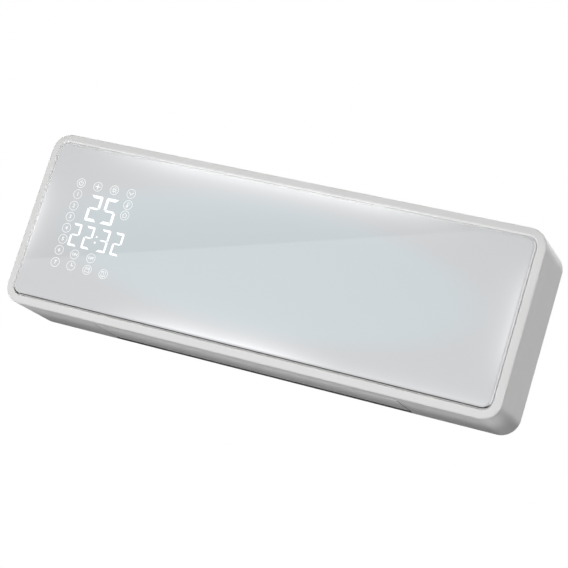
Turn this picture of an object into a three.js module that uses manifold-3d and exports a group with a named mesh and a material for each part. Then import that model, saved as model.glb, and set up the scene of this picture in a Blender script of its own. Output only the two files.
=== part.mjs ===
// Wall-hung ceramic fan heater with a glass touch front, a swinging outlet louver and
// a lift-out dust filter. Millimetres, +Z up, front towards -Y.
// Origin: centre of the wall contact plane.

import * as THREE from 'three';
import { mergeVertices } from 'three/addons/utils/BufferGeometryUtils.js';
import Module from 'manifold-3d';

const wasm = await Module();
wasm.setup();

// Overall body.
const bodyWidth = 545;
const bodyHeight = 188;
const cornerRadius = 19.5;
const shellDepth = 84;
const rearDepth = 17;
const rearTaperX = 11;
const rearTaperZ = 9;
const wall = 2.5;
const ribThickness = 1.8;
const ribHeight = 3.4;
const frontRibReach = 70;
const rearRibHeight = 5;
const rearRibReach = 80;
const rearRibColumns = [-232, -206, -180, 190, 226];
const tabReach = 4;
const tabHalf = 8;
const tabColumns = [-226, -196, -110, 0, 110, 196, 226];
const tabRows = [-50, 0, 50];
const frontRibRows = [-46, 0, 46];
const frontRibColumns = [-130, -40, 40, 130, 220];
const rimEdgeRadius = 2.4;
const rearEdgeRadius = 2;

// Clearances, how deep a joined detail sinks into what it stands on, and how far a cut
// reaches past what it opens.
const gap = 0.3;
const runningGap = 0.7;
const sink = 0.5;
const past = 1;

// Glass front.
const rimWidth = 8.7;
const rimFall = 1.6;
const grooveWidth = 0.9;
const pocketDepth = 4.6;
const frontFloor = 2.2;
const glassThickness = 4;
const glassEdgeRadius = 3;
const glassBackEdge = 0.4;
const gasketThickness = 1;
const gasketWidth = 7;
const gasketInset = 2;

// Display.
const displayInset = 78.8;
const displayColumn = 20;
const displayRow = 12.4;
const diffuserDepth = 6;
const boardThickness = 1.6;
const boardMargin = 3;
const cellWall = 1.2;
const displayColumns = 4;
const displayRows = 8;
const touchSpringRadius = 3.2;
const touchSpringWire = 0.5;
const touchSpringTurns = 2;

// Outlet and louver.
const outletEndRoom = 105;
const lipDepth = 19.5;
const louverAxisY = -32;
const louverRadius = 10;
const louverThickness = 2.4;
const louverRibHeight = 3;
const louverRibThickness = 1.5;
const louverRibCount = 5;
const louverHookInset = 6;
const louverPinRadius = 2.2;
const louverSocketRadius = 1.8;
const louverBossRadius = 4.6;
const louverBossLength = 5;

// Fan.
const fanY = -52;
const fanDrop = 68;
const fanRadius = 30;
const fanEndRoom = 17.5;
const bladeDepth = 6.5;
const bladeThickness = 1.1;
const bladeCount = 18;
const bladeLead = 14;
const bladeTrail = 9;
const ringCount = 3;
const ringThickness = 1.6;
const hubRadius = 9;
const hubLength = 9;
const motorShaftRadius = 4;
const bearingPinRadius = 3;
const bearingNeck = 10.4;

// Air duct.
const endPlate = 3;
const ductWall = 2;
const ductRearY = -21.4;
const scrollStart = 68;
const scrollEnd = -38;
const scrollClearance = 3.2;
const scrollGrowth = 9;
const tongueClearance = 3;
const tongueStart = 204;
const tongueEnd = 190;
const guardLift = 12.5;
const guardHeight = 3.6;
const guardPitch = 11;
const guardBar = 1.8;

// Heating element.
const heaterLift = 54;
const heaterHeight = 24;
const heaterEndRoom = 19.5;
const finRows = 3;
const tubeThickness = 6;
const finPitch = 11;
const finSheet = 0.6;
const heaterFrameWall = 2.2;
const heaterRim = 1.5;
const heaterTab = 0.8;

// Fan motor.
const motorRadius = 29;
const motorLength = 44;
const motorBossRadius = 12;
const mountRingWidth = 7;
const mountRingThickness = 3;

// Filter cassette in the top intake.
const intakeSide = 2;
const intakeFront = -84.5;
const intakeBack = -29.5;
const cassetteDepth = 13;
const intakeBar = 3.6;
const intakeSlot = 6.6;
const filterFrameWall = 3;
const filterFrameInset = 1.5;
const filterThread = 0.7;
const filterThreadPitch = 32;
const intakeBorder = 5;
const filterBays = 4;
const shelfReach = 7;
const shelfInset = 4;
const shelfThickness = 1.5;

// Mains board.
const mainsInset = 55.5;
const mainsWidth = 63;
const mainsHeadroom = 32;
const mainsFront = -26;

// Mains switch on the left side.
const switchY = -46;
const switchLift = 50;
const switchHeight = 23;
const switchWidth = 15;
const switchRecess = 2.4;
const switchDepth = 16;
const switchSeat = 2;
const switchMargin = 3;
const switchLedge = 1;
const rockerTilt = 9;
const rockerLength = 14.8;
const rockerProud = 4.6;
const rockerPivotDepth = 5.9;

// Fasteners and brackets.
const screwRadius = 1.7;
const screwHeadRadius = 3.6;
const screwHeadHeight = 2.4;
const screwBore = 22;
const pillarRadius = 3.6;
const pillarPin = 1.7;
const pillarInset = 4;
const postRadius = 4.6;
const postInsetX = 24.5;
const postInsetZ = 24;
const postRoom = 5;
const bracketWidth = 236;
const bracketHeight = 44;
const bracketSheet = 1.6;
const bracketDrop = 46;
const bracketRecess = 4.4;
const bracketBacking = 2.2;
const hookX = 80;
const hookHalf = 10;
const hookRise = 10;
const glandRadius = 5.6;
const glandGroove = 1.6;
const glandLength = 15;
const glandBore = 3;
const glandLift = 2;
const glandInset = 58.5;
const glandY = -9.5;

// Worked-out places.
const shellBack = -rearDepth;
const shellFront = shellBack - shellDepth;
const halfWidth = bodyWidth / 2;
const halfHeight = bodyHeight / 2;
const displayX = -halfWidth + displayInset;
const outletWidth = bodyWidth - 2 * outletEndRoom;
const intakeWidth = outletWidth - 2 * intakeSide;
const louverAxisZ = -halfHeight + louverRadius;
const fanZ = halfHeight - fanDrop;
const fanLength = outletWidth - 2 * fanEndRoom;
const guardZ = louverAxisZ + guardLift;
const heaterZ = -halfHeight + heaterLift;
const heaterLength = outletWidth - 2 * heaterEndRoom;
const mainsX = -halfWidth + mainsInset;
const mainsHeight = bodyHeight - 2 * mainsHeadroom;
const switchZ = -halfHeight + switchLift;
const postX = halfWidth - postInsetX;
const postZ = halfHeight - postInsetZ;
const bracketZ = halfHeight - bracketDrop;
const glandFoot = -halfHeight + glandLift;
const glandX = -halfWidth + glandInset;
const pocketFloorY = shellFront + pocketDepth;
const frontInsideY = pocketFloorY + frontFloor;
const gasketBack = pocketFloorY - gap;
const glassBack = gasketBack - gasketThickness - gap;
const glassWidth = bodyWidth - 2 * (rimWidth + grooveWidth);
const glassHeight = bodyHeight - 2 * (rimWidth + grooveWidth);
const glassCorner = cornerRadius - rimWidth - grooveWidth;
const floorInside = -halfHeight + wall;
const ceilingInside = halfHeight - wall;
const outletFront = shellFront + lipDepth;
const endPlateX = outletWidth / 2 + gap;
const ductFrontY = outletFront;
const ductSpan = endPlateX - gap;
const displayWidth = displayColumns * displayColumn;
const displayHeight = displayRows * displayRow;
const diffuserFront = glassBack + gap;
const diffuserBack = diffuserFront + diffuserDepth;
const boardFront = diffuserBack + gap;
const boardBack = boardFront + boardThickness;
const mainsBack = mainsFront + boardThickness;

// Pillars of the rear cover that carry the mains board.
function pillarPlaces() {
  const spanX = mainsWidth / 2 - pillarInset;
  const spanZ = mainsHeight / 2 - pillarInset;
  return [-1, 1].flatMap((side) => [[mainsX + side * spanX, -spanZ], [mainsX + side * spanX, spanZ]]);
}

// A closed geometry as a solid for joining and cutting.
function solid(geometry) {
  const bare = geometry.clone();
  bare.deleteAttribute('normal');
  bare.deleteAttribute('uv');
  const merged = mergeVertices(bare, 1e-4);
  const vertProperties = new Float32Array(merged.attributes.position.array);
  const triVerts = new Uint32Array(merged.index.array);
  return new wasm.Manifold(new wasm.Mesh({ numProp: 3, vertProperties, triVerts }));
}

function geometryOf(manifold) {
  const mesh = manifold.getMesh();
  const geometry = new THREE.BufferGeometry();
  geometry.setAttribute('position', new THREE.BufferAttribute(mesh.vertProperties.slice(), 3));
  geometry.setIndex(new THREE.BufferAttribute(mesh.triVerts.slice(), 1));
  geometry.computeVertexNormals();
  return geometry;
}

function joined(parts) {
  return parts.map(solid).reduce((sum, part) => sum.add(part));
}

function carved(base, cuts) {
  return cuts.map(solid).reduce((rest, part) => rest.subtract(part), base);
}

function box(x0, x1, y0, y1, z0, z1) {
  const geometry = new THREE.BoxGeometry(x1 - x0, y1 - y0, z1 - z0);
  return geometry.translate((x0 + x1) / 2, (y0 + y1) / 2, (z0 + z1) / 2);
}

// Shape in X and Z, made thick from yFront to yBack.
function slabY(shape, yFront, yBack, curveSegments = 8) {
  const options = { depth: yBack - yFront, bevelEnabled: false, curveSegments };
  return new THREE.ExtrudeGeometry(shape, options).rotateX(Math.PI / 2).translate(0, yBack, 0);
}

// Shape in Y and Z, made long from x0 to x1.
const alongX = new THREE.Matrix4().makeBasis(
  new THREE.Vector3(0, 1, 0),
  new THREE.Vector3(0, 0, 1),
  new THREE.Vector3(1, 0, 0),
);

function slabX(shape, x0, x1, curveSegments = 8) {
  const options = { depth: x1 - x0, bevelEnabled: false, curveSegments };
  return new THREE.ExtrudeGeometry(shape, options).applyMatrix4(alongX).translate(x0, 0, 0);
}

// Shape in X and Y, made thick from z0 to z1.
function slabZ(shape, z0, z1, curveSegments = 8) {
  const options = { depth: z1 - z0, bevelEnabled: false, curveSegments };
  return new THREE.ExtrudeGeometry(shape, options).translate(0, 0, z0);
}

function rodX(radius, x0, x1, y, z, sides = 20) {
  const geometry = new THREE.CylinderGeometry(radius, radius, x1 - x0, sides);
  return geometry.rotateZ(-Math.PI / 2).translate((x0 + x1) / 2, y, z);
}

function rodY(radius, y0, y1, x, z, sides = 16) {
  const geometry = new THREE.CylinderGeometry(radius, radius, y1 - y0, sides);
  return geometry.translate(x, (y0 + y1) / 2, z);
}

function rodZ(radius, z0, z1, x, y, sides = 16) {
  const geometry = new THREE.CylinderGeometry(radius, radius, z1 - z0, sides);
  return geometry.rotateX(Math.PI / 2).translate(x, y, (z0 + z1) / 2);
}

// Points of [radius, place along the axis], turned about an axis along X.
function turnedX(profile, y, z, sides = 32) {
  const points = profile.map(([radius, along]) => new THREE.Vector2(radius, along));
  return new THREE.LatheGeometry(points, sides).rotateZ(-Math.PI / 2).translate(0, y, z);
}

function roundedRect(width, height, radius, x = 0, y = 0) {
  const shape = new THREE.Shape();
  const right = x + width / 2;
  const left = x - width / 2;
  const top = y + height / 2;
  const bottom = y - height / 2;
  shape.moveTo(left + radius, bottom);
  shape.absarc(right - radius, bottom + radius, radius, -Math.PI / 2, 0);
  shape.absarc(right - radius, top - radius, radius, 0, Math.PI / 2);
  shape.absarc(left + radius, top - radius, radius, Math.PI / 2, Math.PI);
  shape.absarc(left + radius, bottom + radius, radius, Math.PI, 1.5 * Math.PI);
  return shape;
}

function polygon(points) {
  return new THREE.Shape(points.map(([x, y]) => new THREE.Vector2(x, y)));
}

// The slanted copy of an outline: the far end of a slab shrinks about the origin.
function tapered(geometry, yFrom, yTo, scaleX, scaleZ) {
  const position = geometry.attributes.position;
  for (let i = 0; i < position.count; i += 1) {
    const share = (position.getY(i) - yFrom) / (yTo - yFrom);
    position.setX(i, position.getX(i) * (1 + (scaleX - 1) * share));
    position.setZ(i, position.getZ(i) * (1 + (scaleZ - 1) * share));
  }
  return geometry;
}

const group = new THREE.Group();

function add(name, shape, color, roughness, metalness = 0) {
  const geometry = shape.isBufferGeometry ? shape : geometryOf(shape);
  const material = new THREE.MeshStandardMaterial({ color, roughness, metalness });
  const mesh = new THREE.Mesh(geometry, material);
  mesh.name = name;
  group.add(mesh);
}

// Like pieces, each its own node with a number after the name.
function addEach(name, shapes, color, roughness, metalness = 0) {
  shapes.forEach((shape, i) => add(`${name}_${i + 1}`, shape, color, roughness, metalness));
}

const white = 0xdcdedf;
const darkPlastic = 0x2b2c2e;
const boardGreen = 0x2f5b3f;
const steel = 0xb9bcc0;
const aluminium = 0xc8cacc;

// Depths and insets along a rounded edge, from the face at y inwards.
function edgeStations(y, radius, inwards, steps) {
  const stations = [];
  for (let i = 0; i <= steps; i += 1) {
    const turn = (i / steps) * (Math.PI / 2);
    stations.push([y + inwards * radius * (1 - Math.cos(turn)), radius * (1 - Math.sin(turn))]);
  }
  return stations;
}

// A rounded outline at several depths from front to back, each set in by its own distance,
// skinned and closed at both ends.
function layered(width, height, corner, stations) {
  const rings = stations.map(([y, inset]) => {
    const outline = roundedRect(width - 2 * inset, height - 2 * inset, corner - inset);
    return outline.getPoints(5).slice(0, -1).map((point) => [point.x, y, point.y]);
  });
  const count = rings[0].length;
  const back = (rings.length - 1) * count;
  const index = [];
  for (let i = 1; i < count - 1; i += 1) {
    index.push(0, i, i + 1, back, back + i + 1, back + i);
  }
  for (let ring = 0; ring < back; ring += count) {
    for (let i = 0; i < count; i += 1) {
      const here = ring + i;
      const next = ring + ((i + 1) % count);
      index.push(here, here + count, next, next, here + count, next + count);
    }
  }
  const geometry = new THREE.BufferGeometry();
  geometry.setAttribute('position', new THREE.Float32BufferAttribute(rings.flat(2), 3));
  geometry.setIndex(index);
  return solid(geometry);
}

function bodyForm(stations) {
  return layered(bodyWidth, bodyHeight, cornerRadius, stations);
}

function postPlaces() {
  const places = [];
  for (const x of [-postX, postX]) {
    for (const z of [-postZ, postZ]) {
      places.push([x, z]);
    }
  }
  return places;
}

function displayWindow(margin, yFront, yBack) {
  const width = displayWidth + 2 * margin;
  const height = displayHeight + 2 * margin;
  return slabY(roundedRect(width, height, 3, displayX, 0), yFront, yBack, 3);
}

// Moulded front shell: rim that falls back towards its outer edge, glass pocket, intake and
// outlet openings, screw posts, switch recess and stiffening ribs behind the glass.
function frontHousing() {
  const outer = bodyForm([
    [shellFront, rimWidth],
    ...edgeStations(shellFront + rimFall, rimEdgeRadius, 1, 3),
    ...edgeStations(shellBack, rearEdgeRadius, -1, 2).reverse(),
  ]);
  const hollow = bodyForm([[frontInsideY, wall], [shellBack + past, wall]]);
  const pocket = slabY(
    roundedRect(bodyWidth - 2 * rimWidth, bodyHeight - 2 * rimWidth, cornerRadius - rimWidth),
    shellFront - past,
    pocketFloorY,
    5,
  );
  const ribs = [];
  const ribBack = frontInsideY + ribHeight;
  const half = ribThickness / 2;
  for (const z of frontRibRows) {
    ribs.push(box(displayX + displayWidth / 2 + 14, halfWidth - wall + sink, frontInsideY - sink,
      ribBack, z - half, z + half));
  }
  for (const x of frontRibColumns) {
    ribs.push(box(x - half, x + half, frontInsideY - sink, ribBack, -frontRibReach, frontRibReach));
  }
  for (const [x, z] of postPlaces()) {
    ribs.push(rodY(postRadius, frontInsideY - sink, shellBack - postRoom, x, z, 8));
    const side = Math.sign(x) * (halfWidth - wall + sink);
    const edge = x + Math.sign(x) * (postRadius - 1);
    ribs.push(box(Math.min(edge, side), Math.max(edge, side), frontInsideY - sink,
      shellBack - 2 * postRoom, z - half, z + half));
  }
  for (const side of [-1, 1]) {
    const inner = side * (intakeWidth / 2 + gap);
    const outer = side * (intakeWidth / 2 + gap + wall);
    const shelf = side * (intakeWidth / 2 - shelfReach);
    const shelfTop = halfHeight - cassetteDepth - 2 * gap - filterThread - gap;
    ribs.push(box(Math.min(inner, outer), Math.max(inner, outer), intakeFront + shelfInset,
      intakeBack - shelfInset, shelfTop - shelfThickness, ceilingInside + sink));
    ribs.push(box(Math.min(shelf, outer), Math.max(shelf, outer), intakeFront + shelfInset,
      intakeBack - shelfInset, shelfTop - shelfThickness, shelfTop));
  }
  const recessInside = -halfWidth + switchRecess + switchSeat;
  const recessY = switchHeight / 2 + switchMargin;
  const recessZ = switchWidth / 2 + switchMargin;
  const holeY = switchHeight / 2 - switchLedge;
  const holeZ = switchWidth / 2 - switchLedge;
  ribs.push(box(-halfWidth + switchLedge, recessInside, switchY - 2 * switchMargin - switchHeight / 2,
    switchY + 2 * switchMargin + switchHeight / 2, switchZ - 2 * switchMargin - switchWidth / 2,
    switchZ + 2 * switchMargin + switchWidth / 2));
  const shell = outer.subtract(hollow).subtract(solid(pocket)).add(joined(ribs));
  const cuts = [
    displayWindow(gap, shellFront, frontInsideY + diffuserDepth),
    box(-intakeWidth / 2, intakeWidth / 2, intakeFront, intakeBack, ceilingInside - past,
      halfHeight + past),
    box(-outletWidth / 2, outletWidth / 2, outletFront, ductRearY, -halfHeight - past,
      floorInside + past),
    box(-halfWidth - past, -halfWidth + switchRecess, switchY - recessY, switchY + recessY,
      switchZ - recessZ, switchZ + recessZ),
    box(-halfWidth, recessInside + past, switchY - holeY, switchY + holeY, switchZ - holeZ,
      switchZ + holeZ),
  ];
  for (const [x, z] of postPlaces()) {
    cuts.push(rodY(screwRadius + gap, shellBack - screwBore, shellBack, x, z, 8));
  }
  add('front_housing', carved(shell, cuts), white, 0.35);
}

// Tapered tray that closes the back, stands on the wall plane and takes the bracket.
function rearCover() {
  const stepInset = wall + gap;
  const taperX = 1 - rearTaperX / halfWidth;
  const taperZ = 1 - rearTaperZ / halfHeight;
  const stepFront = shellBack + gap;
  const innerInset = stepInset + wall;
  const outline = roundedRect(bodyWidth - 2 * stepInset, bodyHeight - 2 * stepInset,
    cornerRadius - stepInset);
  const outer = solid(tapered(slabY(outline, stepFront, 0, 5), stepFront, 0, taperX, taperZ));
  const hollowOutline = roundedRect(bodyWidth - 2 * innerInset, bodyHeight - 2 * innerInset,
    cornerRadius - innerInset);
  const hollow = slabY(hollowOutline, stepFront - past, -wall, 5);
  const tabs = [];
  const tabFront = shellBack - tabReach;
  const tabBack = stepFront + sink;
  const tabZ = halfHeight - wall - gap;
  const tabX = halfWidth - wall - gap;
  for (const x of tabColumns) {
    tabs.push(box(x - tabHalf, x + tabHalf, tabFront, tabBack, tabZ - ribThickness, tabZ));
    if (Math.abs(x) > endPlateX + endPlate) {
      tabs.push(box(x - tabHalf, x + tabHalf, tabFront, tabBack, -tabZ, -tabZ + ribThickness));
    }
  }
  for (const z of tabRows) {
    tabs.push(box(tabX - ribThickness, tabX, tabFront, tabBack, z - tabHalf, z + tabHalf));
    tabs.push(box(-tabX, -tabX + ribThickness, tabFront, tabBack, z - tabHalf, z + tabHalf));
  }
  const ribs = [];
  const floor = -wall + sink;
  const half = ribThickness / 2;
  for (const x of rearRibColumns) {
    ribs.push(box(x - half, x + half, -wall - rearRibHeight, floor, -rearRibReach, rearRibReach));
  }
  for (const [x, z] of postPlaces()) {
    ribs.push(rodY(postRadius + 1.6, shellBack - postRoom + gap, floor, x, z, 8));
  }
  for (const [x, z] of pillarPlaces()) {
    ribs.push(rodY(pillarRadius, mainsBack + gap, floor, x, z, 8));
    ribs.push(rodY(pillarPin, mainsFront - pillarPin, mainsBack + past, x, z, 8));
  }
  const margin = 4;
  ribs.push(box(-bracketWidth / 2 - margin, bracketWidth / 2 + margin,
    -bracketRecess - bracketBacking, floor, bracketZ - bracketHeight / 2 - margin,
    bracketZ + bracketHeight / 2 + margin));
  const shell = outer
    .subtract(solid(tapered(hollow, stepFront - past, -wall, taperX, taperZ)))
    .add(joined([...tabs, ...ribs]));
  const cuts = [
    box(-bracketWidth / 2 - gap, bracketWidth / 2 + gap, -bracketRecess, past,
      bracketZ - bracketHeight / 2 - gap, bracketZ + bracketHeight / 2 + gap),
    rodZ(glandRadius - glandGroove + gap, -halfHeight, glandFoot + 2 * glandLength, glandX, glandY,
      20),
  ];
  for (const x of [-hookX, hookX]) {
    cuts.push(box(x - hookHalf - 3, x + hookHalf + 3, -bracketRecess - bracketBacking - 2,
      -bracketRecess + past, bracketZ - 6, bracketZ + hookRise));
  }
  for (const [x, z] of postPlaces()) {
    cuts.push(rodY(screwRadius + gap, shellBack - postRoom - past, past, x, z, 8));
    cuts.push(rodY(screwHeadRadius + gap, -wall - screwHeadHeight, past, x, z, 8));
  }
  add('rear_cover', carved(shell, cuts), 0xd2d4d5, 0.55);
}

function housingScrews() {
  const seat = -wall - screwHeadHeight;
  const bite = 10;
  const length = shellBack - seat - bite;
  const point = 1.5;
  const crown = screwHeadHeight * 0.8;
  const profile = [
    [0, length],
    [screwRadius, length + point],
    [screwRadius, 0],
    [screwHeadRadius, 0],
    [screwHeadRadius, crown / 2],
    [screwHeadRadius * 0.7, crown],
    [0, crown],
  ].map(([radius, along]) => new THREE.Vector2(radius, along));
  const screws = postPlaces().map(([x, z]) => (
    new THREE.LatheGeometry(profile, 8).translate(x, seat + gap, z)
  ));
  addEach('housing_screw', screws, steel, 0.35, 0.9);
}

// Thick glass with a full round front edge, standing a little proud of the rim.
function glassPanel() {
  const glass = layered(glassWidth, glassHeight, glassCorner, [
    ...edgeStations(glassBack - glassThickness, glassEdgeRadius, 1, 4),
    [glassBack - glassBackEdge, 0],
    [glassBack, glassBackEdge],
  ]);
  add('glass_panel', glass, 0xe4e8ea, 0.08);
}

// Foam tape frame that the glass rests on in its pocket.
function panelGasket() {
  const width = glassWidth - 2 * gasketInset;
  const height = glassHeight - 2 * gasketInset;
  const outer = slabY(roundedRect(width, height, glassCorner - gasketInset),
    gasketBack - gasketThickness, gasketBack, 5);
  const inner = slabY(
    roundedRect(width - 2 * gasketWidth, height - 2 * gasketWidth, gasketInset),
    glassBack - past,
    pocketFloorY + past,
    3,
  );
  add('panel_gasket', carved(solid(outer), [inner]), 0x3a3b3d, 0.9);
}

// Light box between the board and the glass: a frame with one well for the digits and
// single cells for the signs round them.
function displayDiffuser() {
  const frame = displayWindow(0, diffuserFront, diffuserBack);
  const wells = [];
  const left = displayX - displayWidth / 2;
  const bottom = -displayHeight / 2;
  const column = displayColumn;
  const row = displayRow;
  const cell = (x, z, spanX, spanZ) => box(
    left + x * column + cellWall, left + (x + spanX) * column - cellWall,
    diffuserFront - past, diffuserBack + past,
    bottom + z * row + cellWall, bottom + (z + spanZ) * row - cellWall,
  );
  for (let z = 0; z < displayRows; z += 1) {
    wells.push(cell(0, z, 1, 1));
  }
  for (let x = 1; x < displayColumns; x += 1) {
    wells.push(cell(x, 7, 1, 1));
    wells.push(cell(x, 0, 1, 1));
  }
  wells.push(cell(1, 1, 3, 1));
  wells.push(cell(1, 2, 3, 2));
  wells.push(cell(1, 4, 2, 3));
  wells.push(cell(3, 4, 1, 3));
  add('display_diffuser', carved(solid(frame), wells), 0xf2f2f0, 0.6);
}

// Display board behind the light box, with its processor, connector, buzzer and crystal.
function displayBoard() {
  const width = displayWidth + 2 * boardMargin;
  const height = displayHeight + 2 * boardMargin;
  const plate = slabY(roundedRect(width, height, 2, displayX, 0), boardFront, boardBack, 2);
  const foot = boardBack - 0.1;
  const left = displayX - displayWidth / 2;
  const processor = box(displayX - 9, displayX + 9, foot, boardBack + 1.5, -6, 10);
  const connector = box(left + 6, left + 20, foot, boardBack + 5.5, -38, -30);
  const buzzer = rodY(4.5, foot, boardBack + 3, left + 14, 24, 16);
  const crystal = box(left + 6, left + 12, foot, boardBack + 2, -22, -16);
  add('display_board', joined([plate, processor, connector, buzzer, crystal]), boardGreen, 0.5);
}

// Coil springs that carry the touch keys from the board to the back of the glass.
function touchSprings() {
  const springs = [];
  class Helix extends THREE.Curve {
    constructor(x, z) {
      super();
      this.x = x;
      this.z = z;
    }

    getPoint(t, target = new THREE.Vector3()) {
      const angle = t * touchSpringTurns * 2 * Math.PI;
      const start = boardFront - gap - touchSpringWire;
      const end = glassBack + gap + touchSpringWire;
      return target.set(this.x + touchSpringRadius * Math.cos(angle), start + (end - start) * t,
        this.z + touchSpringRadius * Math.sin(angle));
    }
  }
  const section = new THREE.Shape();
  section.absarc(0, 0, touchSpringWire, 0, 2 * Math.PI);
  const z = (displayHeight - displayRow) / 2;
  for (let i = 0; i < displayColumns; i += 1) {
    const x = displayX + (i - (displayColumns - 1) / 2) * displayColumn;
    springs.push(new THREE.ExtrudeGeometry(section, {
      steps: Math.round(touchSpringTurns * 8),
      curveSegments: 2,
      bevelEnabled: false,
      extrudePath: new Helix(x, z),
    }));
  }
  addEach('touch_spring', springs, steel, 0.3, 0.9);
}

function fanPoint(angle, radius) {
  const turn = THREE.MathUtils.degToRad(angle);
  return [fanY + radius * Math.cos(turn), fanZ + radius * Math.sin(turn)];
}

// One forward-curved blade: a bowed strip between the rim and the inner circle.
function bladeShape(start) {
  const steps = 2;
  const outside = [];
  const inside = [];
  for (let i = 0; i <= steps; i += 1) {
    const share = i / steps;
    const radius = fanRadius - bladeDepth * share;
    const angle = start + bladeLead * share * share - bladeTrail * share * (1 - share);
    const half = (bladeThickness / radius) * (180 / Math.PI) * (0.5 - 0.2 * Math.abs(share - 0.5));
    outside.push(fanPoint(angle + half, radius));
    inside.unshift(fanPoint(angle - half, radius));
  }
  return polygon([...outside, ...inside]);
}

function ringShape(outerRadius, innerRadius) {
  const shape = new THREE.Shape();
  shape.absarc(fanY, fanZ, outerRadius, 0, 2 * Math.PI);
  const hole = new THREE.Path();
  hole.absarc(fanY, fanZ, innerRadius, 0, 2 * Math.PI, true);
  shape.holes.push(hole);
  return shape;
}

// Cross-flow impeller: curved blades carried by rings, closed by a disc with a hub at
// each end, the left hub bored for the bearing pin and the right one for the motor shaft.
function impeller() {
  const half = fanLength / 2;
  const disc = 2;
  const rim = fanRadius + 0.6;
  const ringBore = fanRadius - bladeDepth - 0.6;
  const pinBore = bearingPinRadius + gap;
  const shaftBore = motorShaftRadius + gap;
  const parts = [];
  for (let i = 0; i < bladeCount; i += 1) {
    parts.push(slabX(bladeShape((360 / bladeCount) * i), -half + disc / 2, half - disc / 2));
  }
  for (let i = 1; i <= ringCount; i += 1) {
    const x = -half + (fanLength / (ringCount + 1)) * i;
    parts.push(slabX(ringShape(rim, ringBore), x - ringThickness / 2, x + ringThickness / 2, 12));
  }
  parts.push(slabX(ringShape(rim, pinBore), -half, -half + disc, 12));
  parts.push(slabX(ringShape(rim, shaftBore), half - disc, half, 12));
  parts.push(slabX(ringShape(hubRadius, pinBore), -half + disc / 2, -half + hubLength, 8));
  parts.push(slabX(ringShape(hubRadius, shaftBore), half - hubLength, half - disc / 2, 8));
  add('impeller', joined(parts), 0x3c4043, 0.6);
}

// Pin that carries the left hub and the motor's shaft, which drives the right one.
function fanShafts() {
  const seat = fanLength / 2 - hubLength + 1;
  const pinEnd = -endPlateX - endPlate - 6;
  add('bearing_pin', rodX(bearingPinRadius, pinEnd, -seat, fanY, fanZ), steel, 0.25, 1);
  const shaftEnd = endPlateX + endPlate + 15;
  add('motor_shaft', rodX(motorShaftRadius, seat, shaftEnd, fanY, fanZ), steel, 0.25, 1);
}

// Rubber ring in the left end plate with a sintered bush for the bearing pin.
function endBearing() {
  const lip = 12.4;
  const ringBore = 7.3;
  const x0 = -endPlateX - endPlate - 4;
  const x1 = -endPlateX + 2;
  const ring = turnedX([
    [ringBore, x0],
    [lip, x0],
    [lip, -endPlateX - endPlate - gap],
    [bearingNeck, -endPlateX - endPlate - gap],
    [bearingNeck, -endPlateX + gap],
    [lip, -endPlateX + gap],
    [lip, x1],
    [ringBore, x1],
    [ringBore, x0],
  ], fanY, fanZ, 16);
  add('bearing_holder', ring, 0x1f1f20, 0.85);
  const bore = bearingPinRadius + gap;
  const bush = turnedX([
    [bore, x0 + sink],
    [ringBore - gap, x0 + sink],
    [ringBore - gap, x1 - sink],
    [bore, x1 - sink],
    [bore, x0 + sink],
  ], fanY, fanZ, 20);
  add('bearing_bush', bush, 0xa8834a, 0.4, 0.9);
}

function motorPlaces() {
  const start = endPlateX + endPlate + gap + mountRingWidth + 1;
  return { start, end: start + motorLength };
}

// Fan motor: drawn can with a seam and a stepped nose boss at each end, bored for its shaft.
function fanMotor() {
  const { start, end } = motorPlaces();
  const bore = motorShaftRadius + gap;
  const boreEnd = endPlateX + endPlate + 18;
  const step = 4;
  const seam = start + 15;
  const can = turnedX([
    [0, boreEnd],
    [bore, boreEnd],
    [bore, start - mountRingWidth],
    [motorBossRadius, start - mountRingWidth],
    [motorBossRadius, start],
    [motorRadius - step, start],
    [motorRadius, start + step],
    [motorRadius, seam],
    [motorRadius + 1.8, seam + 1],
    [motorRadius, seam + 3],
    [motorRadius, end - step],
    [motorRadius - step, end],
    [motorBossRadius, end],
    [motorBossRadius, end + mountRingWidth],
    [0, end + mountRingWidth],
  ], fanY, fanZ, 20);
  add('fan_motor', can, 0x9a9da1, 0.4, 0.8);
}

// Rubber rings on the motor's two bosses.
function motorRings() {
  const { start, end } = motorPlaces();
  const inner = motorBossRadius + gap;
  const outer = inner + mountRingThickness;
  const rings = [start - mountRingWidth + 0.6, end + 0.4].map((x) => turnedX([
    [inner, x],
    [outer, x],
    [outer, x + mountRingWidth - 1],
    [inner, x + mountRingWidth - 1],
    [inner, x],
  ], fanY, fanZ, 24));
  addEach('motor_mount_ring', rings, 0x222223, 0.9);
}

// Two saddles on one foot that clamp the rubber rings and screw to the shell's front wall.
function motorCradle() {
  const { start, end } = motorPlaces();
  const reach = motorBossRadius + 2 * gap + mountRingThickness;
  const plate = 3;
  const toe = 6;
  const foot = frontInsideY + ribHeight + gap;
  const shape = new THREE.Shape();
  shape.moveTo(foot, fanZ - reach - toe);
  shape.lineTo(fanY, fanZ - reach - plate);
  shape.absarc(fanY, fanZ, reach + plate, -Math.PI / 2, Math.PI / 2);
  shape.lineTo(foot, fanZ + reach + toe);
  const hole = new THREE.Path();
  hole.absarc(fanY, fanZ, reach, 0, 2 * Math.PI, true);
  shape.holes.push(hole);
  const width = mountRingWidth - 2;
  const first = start - mountRingWidth + 1;
  const second = end + 0.6;
  const saddles = [first, second].map((x) => slabX(shape, x, x + width, 10));
  const base = box(first, second + width, foot, foot + plate, fanZ - reach - toe,
    fanZ + reach + toe);
  add('motor_cradle', joined([...saddles, base]), 0x8f9296, 0.5, 0.7);
}

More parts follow.
